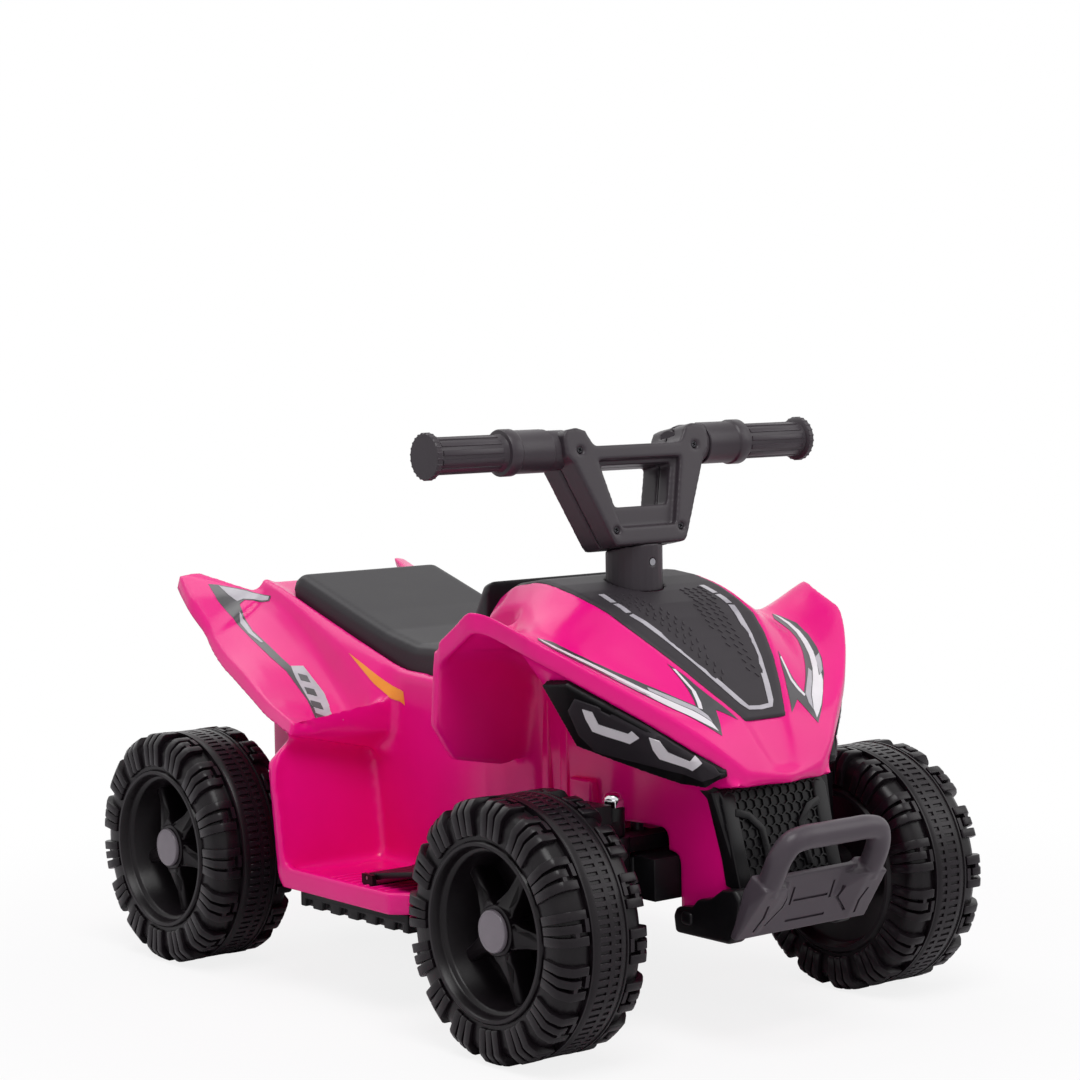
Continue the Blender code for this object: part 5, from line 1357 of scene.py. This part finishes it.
    def build_frame(self, side: Side) -> None:
        """The black strut down one side of the grille, and the bent bar that crosses the honeycomb.

        Args:
            side: the side that they are on.
        """
        outer, inner = self.strut_faces
        corners = mirrored([(outer, -forward, z) for forward, z in self.strut], side)
        strut = Form.outline(corners).raised((side.value * (inner - outer) / 1000, 0, 0))
        strut.bevelled(0.0014, 3).done(f"grille_strut_{side.word}", Skin.SATIN, "chassis", smooth=40)
        middle = [Vector((x, 0, z)) for x, z in self.bent_bar]
        corners = [corner / 1000 for corner in strip(middle, self.bar_width, Vector((0, -1, 0)))]
        bar = Form.outline([(side.value * corner.x, -self.mesh_front, corner.z) for corner in corners])
        bar.raised((0, -self.bar_depth, 0)).bevelled(0.0009, 2).moved(self.slope())
        bar.done(f"grille_bar_{side.word}", Skin.SATIN, "chassis", smooth=40)

    def build_bumper(self) -> None:
        """The bumper: a sloping plate, a shoulder at each end and the tube loop that rises from them."""
        parts = [Form.outline(doubled(self.plate_edge)).raised(self.plate_depth), self.loop()]
        parts += [Form.hull(mirrored(self.shoulder, side)) for side in Side]
        bumper = parts[0].joined(*parts[1:]).softened(0.0009, 9, 0.5)
        for bar in self.pressed_lines():
            bumper.without(bar)
        bumper.done("front_bumper_moulded", Skin.BUMPER, "chassis", "front_bumper", smooth=50)
        for side in Side:
            self.build_wing(side)

    def loop(self) -> Form:
        """The bumper's tube, bent in one smooth run from one shoulder to the other."""
        path = doubled(self.half_loop)
        run = flowing(lengths(path), path, steps(lengths(path), 6))
        return Form.tube(run, self.loop_radius, Vector(self.loop_normal))

    def pressed_lines(self) -> list[Form]:
        """The cutters for the plate's pressed lines: a bar along each straight run."""
        lines = [mirrored(line, Side.LEFT) for line in self.lines_across]
        lines += [mirrored(line, side) for side in Side for line in self.lines_aside]
        out = Vector(self.plate_normal)
        half = self.line_width / 2
        bars = []
        for line in lines:
            for first, last in zip(line, line[1:]):
                way = (last - first).normalized()
                far = ((last - first).length + half, half, self.line_clearance)
                bar = Form.block((-half, -half, -self.line_depth), far)
                turn = Matrix((way, out.cross(way), out)).transposed().to_4x4()
                bars.append(bar.moved(Matrix.Translation(first) @ turn))
        return bars

    def build_wing(self, side: Side) -> None:
        """The stepped block that ties an end of the bumper to the body's foot.

        Args:
            side: the bumper's end.
        """
        outer, inner = self.wing_faces
        corners = mirrored([(outer, u, z) for u, z in self.wing], side)
        wing = Form.outline(corners).raised((side.value * (inner - outer) / 1000, 0, 0))
        wing.joined(Form.block(*mirrored(self.wing_tie, side))).bevelled(0.0032, 4)
        wing.done(f"bumper_wing_{side.word}", Skin.SATIN, "chassis", smooth=40)


@dataclass
class Wheel:
    """A blow-moulded wheel: deep dish, five spokes, hooked shoulder lugs and a slotted centre band."""

    radius: float = 0.0950
    face: float = 0.0395
    pitches: int = 15
    slots: int = 96
    spokes: int = 5
    hub_radius: float = 0.0185
    dish_floor: float = 0.0
    inner_shift: float = 12.0
    lug_middle: float = 0.0895
    spoke_depth: float = 0.0220
    # The wheels' standing angles at the front and rear axle.
    turns: Pair = (119.7, 109.0)
    # One pitch of the shoulder pattern: (start, stop, reach) of its bars and (start, stop, low, high) of its
    # links, with angles in degrees.
    bars: tuple = ((0.0, 4.2, 0.0185), (5.7, 9.6, 0.0240), (11.1, 15.4, 0.0185))
    links: tuple = ((4.0, 7.0, 0.0178, 0.0212), (6.8, 9.6, 0.0178, 0.0212), (9.4, 11.3, 0.0270, 0.0305))
    # The centre band's two rows of tiles: (low, high) across it and the share of a slot's pitch.
    tile_rows: tuple = ((-0.0090, 0.0008, 0.62), (0.0042, 0.0098, 0.55))
    # A spoke's (radius, half width, outer face).
    spoke: tuple = (
        (0.0130, 0.0104, 0.0272), (0.0185, 0.0098, 0.0268), (0.0225, 0.0084, 0.0250),
        (0.0290, 0.0068, 0.0220), (0.0390, 0.0058, 0.0194), (0.0500, 0.0052, 0.0176),
        (0.0565, 0.0056, 0.0170))

    def build(self) -> None:
        """Model one wheel about the X axis, then copy it to its four places."""
        whole = self.base().joined(self.star(), self.lugs(), self.tiles())
        cap = self.cap()
        for end, y, turn in zip(("front", "rear"), (FRONT_AXLE_Y, REAR_AXLE_Y), self.turns):
            for side in Side:
                place = Matrix.Translation((side.value * WHEEL_X, y, AXLE_Z))
                if side is Side.LEFT:
                    place = place @ Matrix.Rotation(math.pi, 4, "Z")
                place = place @ Matrix.Rotation(math.radians(-turn), 4, "X")
                wheel, body = f"{end}_{side.word}", f"{end}_wheel_{side.word}"
                for form, piece, skin in ((whole, "wheel", Skin.WHEEL), (cap, "hub_cap", Skin.GREY)):
                    one = form.twin().moved(place)
                    one.done(f"{piece}_moulded_{wheel}", skin, body, f"{piece}_{wheel}", smooth=38)
        for spare in (whole, cap):
            bpy.data.objects.remove(spare.obj)

    def base(self) -> Form:
        """The tyre, rim and dish as one turned section."""
        f, r = self.face, self.radius
        profile = [
            (0.0140, 0.0278), (0.0175, 0.0281), (self.hub_radius, 0.0272), (0.0195, 0.0040),
            (0.0205, self.dish_floor), (0.0500, self.dish_floor), (0.0520, 0.0020), (0.0560, 0.0280),
            (0.0572, 0.0300), (0.0592, 0.0308), (0.0600, 0.0322), (0.0606, 0.0372), (0.0618, 0.0387),
            (0.0640, 0.0387), (0.0652, 0.0376), (0.0656, 0.0360), (0.0700, 0.0364), (0.0800, 0.0362),
            (0.0850, 0.0345), (0.0885, 0.0315), (0.0905, 0.0270), (0.0908, 0.0166), (r - 0.0002, 0.0163),
            (r - 0.0001, 0.0150), (0.0940, 0.0146), (0.0944, 0.0140), (0.0945, 0.0088), (0.0934, 0.0086),
            (0.0934, -0.0004), (0.0945, -0.0006), (0.0945, -0.0044), (0.0934, -0.0046), (0.0934, -0.0094),
            (0.0945, -0.0096), (0.0944, -0.0140), (0.0940, -0.0146), (r - 0.0001, -0.0150),
            (r - 0.0002, -0.0163), (0.0908, -0.0166), (0.0905, -0.0270), (0.0885, -0.0315), (0.0850, -0.0345),
            (0.0800, -0.0362), (0.0660, -0.0364), (0.0640, -0.0385), (0.0610, -0.0385), (0.0580, -0.0300),
            (0.0560, -0.0290), (0.0205, -0.0290), (0.0190, -0.0385), (0.0160, -f), (0.0140, -f),
        ]
        return Form.lathed([(radius, -outward) for radius, outward in profile], 120)

    def lug(self, start: float, stop: float, reach: float, inner: bool) -> Form:
        """A hooked bar from the sidewall over the shoulder on to the tread.

        Args:
            start: the angle of its first side, in degrees.
            stop: the angle of its other side.
            reach: how far out from the wheel's middle plane its tread end lies.
            inner: whether it is on the car's side of the wheel.

        Returns:
            The form.
        """
        r, f = self.radius, self.face
        section = [(0.0680, 0.0350), (0.0686, f - 0.0010), (0.0700, f - 0.0003), (0.0860, f - 0.0003),
                   (0.0885, f - 0.0015), (0.0938, 0.0336), (r, 0.0310), (r, reach + 0.0008),
                   (r - 0.0008, reach), (0.0895, reach), (0.0880, 0.0290), (0.0830, 0.0330)]
        half = math.radians(stop - start) / 2 * self.lug_middle
        bar = Form.outline([(-a, -half, radius) for radius, a in section]).raised((0, 2 * half, 0))
        bar.bevelled(0.0006, 2, 35)
        if inner:
            bar.moved(Matrix.Diagonal((-1, 1, 1, 1)))
        return bar.moved(Matrix.Rotation(math.radians((start + stop) / 2), 4, "X"))

    def lugs(self) -> Form:
        """One pitch of the shoulder pattern on each side, repeated round the wheel."""
        bars = []
        for inner in (False, True):
            shift = self.inner_shift if inner else 0.0
            bars += [self.lug(shift + start, shift + stop, reach, inner) for start, stop, reach in self.bars]
            bars += [self.bridge(shift + start, shift + stop, low, high, inner)
                     for start, stop, low, high in self.links]
        return bars[0].joined(*bars[1:]).around(self.pitches)

    def bridge(self, start: float, stop: float, low: float, high: float, inner: bool) -> Form:
        """A short raised link between two lugs, which gives the pattern its hooks.

        Args:
            start: the angle of its first side, in degrees.
            stop: the angle of its other side.
            low: its nearer end's distance from the wheel's middle plane.
            high: its farther end's.
            inner: whether it is on the car's side of the wheel.

        Returns:
            The form.
        """
        half = math.radians(stop - start) / 2 * self.radius
        ends = (low, high) if inner else (-high, -low)
        link = Form.block((ends[0], -half, self.radius - 0.0060), (ends[1], half, self.radius - 0.0002))
        return link.moved(Matrix.Rotation(math.radians((start + stop) / 2), 4, "X"))

    def tiles(self) -> Form:
        """The centre band's two rows of tiles, which leave the slots between them."""
        rows = []
        for low, high, share in self.tile_rows:
            half = math.pi / self.slots * share * self.radius
            tile = Form.block((low, -half, self.radius - 0.0026), (high, half, self.radius - 0.0005))
            rows.append(tile.bevelled(0.0003, 1).around(self.slots))
        return rows[0].joined(rows[1])

    def star(self) -> Form:
        """The five tapered spokes, the first modelled and the rest copied round."""
        ring = [(-a, -w, r) for r, w, a in self.spoke] + [(-a, w, r) for r, w, a in reversed(self.spoke)]
        spoke = Form.outline(ring).raised((self.spoke_depth, 0, 0))
        spoke.modified("BEVEL", width=0.0038, segments=4, limit_method="ANGLE", angle_limit=math.radians(50))
        return spoke.around(self.spokes)

    def cap(self) -> Form:
        """The grey hub cap: a shallow dome with a rounded rim."""
        profile = [(0.0, 0.0278), (0.0150, 0.0278), (0.0155, 0.0284), (0.0155, 0.0302), (0.0150, 0.0309),
                   (0.0142, 0.0311), (0.0138, 0.0308), (0.0080, 0.0311), (0.0, 0.0312)]
        return Form.lathed([(radius, -outward) for radius, outward in profile], 64)


@dataclass
class Handlebar:
    """The handlebar block, its screws, the neck and the splined grips."""

    rake: float = 11.0
    block_foot: float = 0.3520
    block_back: float = 0.0020
    bar_lift: float = 0.0775
    flutes: int = 12
    # The sleeve's and the grip's sections as (radius, out from the middle).
    sleeve: tuple = ((0.0112, 0.0560), (0.0140, 0.0560), (0.0152, 0.0600), (0.0152, 0.0768), (0.0146, 0.0777),
                     (0.0112, 0.0777))
    grip: tuple = (
        (0.0113, 0.0780), (0.0155, 0.0780), (0.0163, 0.0788), (0.0163, 0.1080), (0.0166, 0.1090),
        (0.0174, 0.1096), (0.0177, 0.1104), (0.0177, 0.1190), (0.0171, 0.1199), (0.0145, 0.1204),
        (0.0133, 0.1235), (0.0133, 0.1815), (0.0138, 0.1828), (0.0166, 0.1836), (0.0173, 0.1844),
        (0.0173, 0.1878), (0.0166, 0.1887), (0.0, 0.1889), (0.0, 0.1855), (0.0113, 0.1855))
    # The boxes of a flute, of the collar's seam and of a tooth on the flange, each by two corners.
    flute: tuple = ((0.1250, -0.0021, 0.0120), (0.1805, 0.0021, 0.01385))
    seam: tuple = ((0.0785, -0.0006, 0.0155), (0.1085, 0.0006, 0.0166))
    tooth: tuple = ((0.1840, -0.0008, 0.0160), (0.1886, 0.0008, 0.0176))
    # A screw's head and its recess: the head's height, its rim, and the slots' width and depth. Then the
    # reach of its shank, of its crown and of the slots as shares of the head's, and the slots' turn.
    screw_head: float = 0.0014
    screw_rim: float = 0.0005
    screw_slot: Pair = (0.0010, 0.0012)
    shank_share: float = 0.55
    crown_share: float = 0.82
    slot_share: float = 0.62
    slot_turn: float = 0.4

    def tilt(self) -> Matrix:
        """The block's rake."""
        return Matrix.Rotation(math.radians(-self.rake), 4, "X")

    def bar_place(self, side: Side) -> Matrix:
        """The frame of one bar: x along it, outwards from the block.

        Args:
            side: the bar's side.

        Returns:
            The matrix.
        """
        foot = Matrix.Translation((0, COLUMN_Y - self.block_back, self.block_foot))
        place = foot @ self.tilt() @ Matrix.Translation((0, 0, self.bar_lift))
        return place if side is Side.LEFT else place @ Matrix.Rotation(math.pi, 4, "Z")

    def build(self) -> None:
        """Build the handlebar's pieces."""
        for part in ("front", "rear"):
            name = f"handlebar_{part}_shell"
            shell = Form.copy_of(name).softened(0.0010, 24, 0.5)
            shell.done(f"handlebar_{part}_moulded", Skin.CHARCOAL, "steering", name, smooth=60)
        neck = Form.copy_of("steering_neck").softened(0.0008, 3, 0.5)
        neck.done("neck_moulded", Skin.CHARCOAL, "steering", "steering_neck", smooth=60)
        for side in Side:
            self.build_grip(side)
            sleeve = Form.lathed(self.sleeve, 48).moved(self.bar_place(side))
            sleeve.done(f"handlebar_sleeve_{side.word}", Skin.CHARCOAL, "steering", smooth=40)
            dressed(f"handlebar_tube_{side.word}", Skin.CHARCOAL)
        for row in ("upper", "lower"):
            for column in ("left", "right"):
                self.build_screw(f"handlebar_screw_{row}_{column}")
        dressed("neck_screw", Skin.CHROME)

    def build_screw(self, name: str) -> None:
        """A pan-headed screw with a cross recess in place of a frame screw.

        Args:
            name: the frame screw's name.
        """
        low, high, middle = corners_of(name)
        reach = (high.x - low.x) / 2
        lean = math.radians(self.rake)
        half = (high.y - low.y - 2 * reach * math.sin(lean)) / math.cos(lean) / 2
        seat = half - self.screw_head
        shank = reach * self.shank_share
        profile = [(0.0, -half), (shank, -half), (shank, seat), (reach, seat),
                   (reach, half - self.screw_rim), (reach * self.crown_share, half), (0.0, half)]
        head = Form.outline([(r, -a, 0) for r, a in profile], filled=False).turned((0, 0, 0), (0, 1, 0), 32)
        width, depth = self.screw_slot
        for flip in (0.0, math.pi / 2):
            span = reach * self.slot_share
            slot = Form.block((-span, -half - 0.001, -width / 2), (span, depth - half, width / 2))
            head.without(slot.moved(Matrix.Rotation(flip + self.slot_turn, 4, "Y")))
        head.moved(Matrix.Translation(middle) @ self.tilt())
        head.done(f"{name}_recessed", Skin.OXIDE, "steering", name, smooth=35)

    def build_grip(self, side: Side) -> None:
        """A grip with its collar, its flutes and its toothed end flange.

        Args:
            side: the grip's side.
        """
        flute = Form.block(*self.flute).bevelled(0.0006, 2)
        seam = Form.block(*self.seam).bevelled(0.0002, 1)
        tooth = Form.block(*self.tooth).bevelled(0.0003, 1)
        grip = Form.lathed(self.grip, 64)
        grip.joined(flute.around(self.flutes), seam, tooth.around(2 * self.flutes))
        grip.moved(self.bar_place(side))
        grip.done(f"grip_moulded_{side.word}", Skin.CHARCOAL, "steering", f"grip_{side.word}", smooth=38)


@dataclass
class RunningGear:
    """The axle beam, knuckles, kingpins, rods, gears and controls."""

    # The frame nodes that stay in view, by finish, and those that each side has.
    dress: tuple = (
        (Skin.ZINC, ("rear_axle", "steering_column", "tie_rod", "idler_shaft", "motor_pinion", "drive_motor",
                     "pedal_pin")),
        (Skin.NYLON, ("column_bush", "drive_gear", "idler_gear")),
        (Skin.BATTERY, ("battery",)),
        (Skin.SATIN, ("gearbox_housing", "gearbox_cover", "switch_bezel", "direction_switch", "pedal_base")),
    )
    sided: tuple = ("stub_axle", "kingpin", "axle_nut_front", "axle_nut_rear")
    # The pieces whose edges are rounded: (node, piece, body, radius).
    rounded: tuple = (
        ("front_axle_beam", "axle_beam_moulded", "chassis", 0.0010),
        ("charge_socket", "socket_moulded", "chassis", 0.0003),
        ("accelerator_pedal", "pedal_moulded", "pedal", 0.0006),
        ("steering_knuckle_right", "knuckle_moulded_right", "knuckle_right", 0.0008),
        ("steering_knuckle_left", "knuckle_moulded_left", "knuckle_left", 0.0008),
    )
    # The dome nut's cap as (share of its reach, share of its height).
    dome: tuple = ((0.0, 0.30), (0.86, 0.30), (0.86, 0.56), (0.80, 0.72), (0.66, 0.85), (0.44, 0.95),
                   (0.20, 0.99), (0.0, 1.0))
    dome_inset: float = 0.94
    hexagon_share: float = 0.5

    def build(self) -> None:
        """Dress or refine every piece under the body."""
        for skin, names in self.dress:
            for name in names:
                dressed(name, skin)
        for source, name, body, radius in self.rounded:
            Form.copy_of(source).bevelled(radius).done(name, Skin.SATIN, body, source)
        for side in Side:
            for name in self.sided:
                dressed(f"{name}_{side.word}", Skin.ZINC)
            self.build_nut(side)

    def build_nut(self, side: Side) -> None:
        """A domed nut on a kingpin: a hexagon, a collar and a polished cap.

        Args:
            side: the kingpin's side.
        """
        name = f"kingpin_nut_{side.word}"
        low, high, middle = corners_of(name)
        reach, tall = (high.x - low.x) / 2, high.z - low.z
        foot = Vector((middle.x, middle.y, low.z))
        turns = [math.tau * k / 6 for k in range(6)]
        corners = [foot + Vector((reach * math.cos(turn), reach * math.sin(turn), 0)) for turn in turns]
        hexagon = Form.outline(corners).raised((0, 0, tall * self.hexagon_share)).bevelled(0.0005, 2)
        section = [foot + Vector((reach * r * self.dome_inset, 0, tall * h)) for r, h in self.dome]
        cap = Form.outline(section, filled=False).turned(foot, (0, 0, 1), 32)
        hexagon.joined(cap)
        hexagon.done(f"kingpin_nut_domed_{side.word}", Skin.CHROME, f"knuckle_{side.word}", name, smooth=40)


@dataclass
class Studio:
    """The pale floor, the soft lamps and the camera at the photograph's viewpoint."""

    azimuth: float = -38.788
    elevation: float = 4.332
    roll: float = -0.822
    lens: float = 92.889
    sensor: float = 36.0
    place: Triple = (-1.38859, -1.73655, 0.51941)
    target: Triple = (0.0, 0.0, 0.2)
    # The lamps' places, sizes and powers: the key light overhead, a fill at the left and one behind.
    lamps: tuple = (((-0.8, -1.3, 2.9), 1.6, 52.0), ((1.6, -1.4, 1.4), 1.4, 10.0),
                    ((-0.3, 1.7, 2.5), 1.8, 18.0))
    world_strength: float = 0.40
    # Where the floor fades to plain white, and how much of it is plain white near the car.
    fade: Pair = (0.30, 0.90)
    floor_share: float = 0.84

    def build(self) -> None:
        """Set the stage."""
        self.lay_floor()
        self.light()
        self.aim()

    def lay_floor(self) -> None:
        """A wide pale floor that keeps a soft shadow and otherwise reads white."""
        Form.clear()
        bpy.ops.mesh.primitive_plane_add(size=60, location=(0, 0, 0))
        floor = bpy.context.active_object
        floor.name = "studio_floor"
        made = bpy.data.materials.new("paper_backdrop_white")
        made.use_nodes = True
        tree = made.node_tree
        tree.nodes.clear()
        seen = node(tree, "LightPath").outputs["Is Camera Ray"]
        place = node(tree, "TexCoord").outputs["Object"]
        spot = node(tree, "VectorMath", {"operation": "LENGTH"}, {0: place})
        fade = node(tree, "MapRange", {
            "interpolation_type": "SMOOTHSTEP", "From Min": self.fade[0], "From Max": self.fade[1],
            "To Min": self.floor_share}, {"Value": spot.outputs["Value"]})
        shown = node(tree, "Math", {"operation": "MULTIPLY"}, {0: seen, 1: fade.outputs["Result"]})
        paper = node(tree, "BsdfDiffuse", {"Color": linear("F2F0F1")})
        glow = node(tree, "Emission", {"Color": linear("FFFFFF"), "Strength": 1.0})
        choice = node(tree, "MixShader", {}, {0: shown.outputs[0], 1: paper.outputs[0], 2: glow.outputs[0]})
        node(tree, "OutputMaterial", {}, {"Surface": choice.outputs[0]})
        floor.data.materials.append(made)

    def light(self) -> None:
        """A white world that the camera and glossy surfaces see, and three soft lamps."""
        world = bpy.data.worlds.new("studio")
        bpy.context.scene.world = world
        world.use_nodes = True
        tree = world.node_tree
        tree.nodes.clear()
        path = node(tree, "LightPath")
        seen = path.outputs["Is Camera Ray"]
        for ray in ("Is Transmission Ray", "Is Glossy Ray"):
            seen = node(tree, "Math", {"operation": "MAXIMUM"}, {0: seen, 1: path.outputs[ray]}).outputs[0]
        white = node(tree, "Background", {"Color": linear("FFFFFF"), "Strength": 1.0})
        soft = node(tree, "Background", {"Color": linear("F4F2FA"), "Strength": self.world_strength})
        choice = node(tree, "MixShader", {}, {0: seen, 1: soft.outputs[0], 2: white.outputs[0]})
        node(tree, "OutputWorld", {}, {"Surface": choice.outputs[0]})
        for place, size, power in self.lamps:
            Form.clear()
            bpy.ops.object.light_add(type="AREA", location=place)
            lamp = bpy.context.active_object
            lamp.data.size = size
            lamp.data.energy = power
            lamp.rotation_euler = (Vector(self.target) - Vector(place)).to_track_quat("-Z", "Y").to_euler()
        bpy.context.scene.view_settings.view_transform = "Standard"

    def aim(self) -> None:
        """Put the camera where the photograph was taken from."""
        a, e, r = (math.radians(angle) for angle in (self.azimuth, self.elevation, self.roll))
        back = Vector((math.sin(a) * math.cos(e), -math.cos(a) * math.cos(e), math.sin(e)))
        right = Vector((math.cos(a), math.sin(a), 0))
        up = back.cross(right)
        level, upright = right * math.cos(r) + up * math.sin(r), up * math.cos(r) - right * math.sin(r)
        matrix = Matrix((level, upright, back)).transposed().to_4x4()
        matrix.translation = Vector(self.place)
        bpy.ops.object.camera_add()
        camera = bpy.context.active_object
        camera.matrix_world = matrix
        camera.data.lens = self.lens
        camera.data.sensor_width = self.sensor
        camera.data.clip_start = 0.01
        bpy.context.scene.camera = camera


def main() -> None:
    """Build every sub-assembly in order."""
    logging.basicConfig(level=logging.INFO, format="%(message)s")
    for part in (Studio(), Bodywork(), Nose(), Wheel(), Handlebar(), RunningGear()):
        LOG.info("building %s", type(part).__name__)
        part.build()


if __name__ == "__main__":
    main()
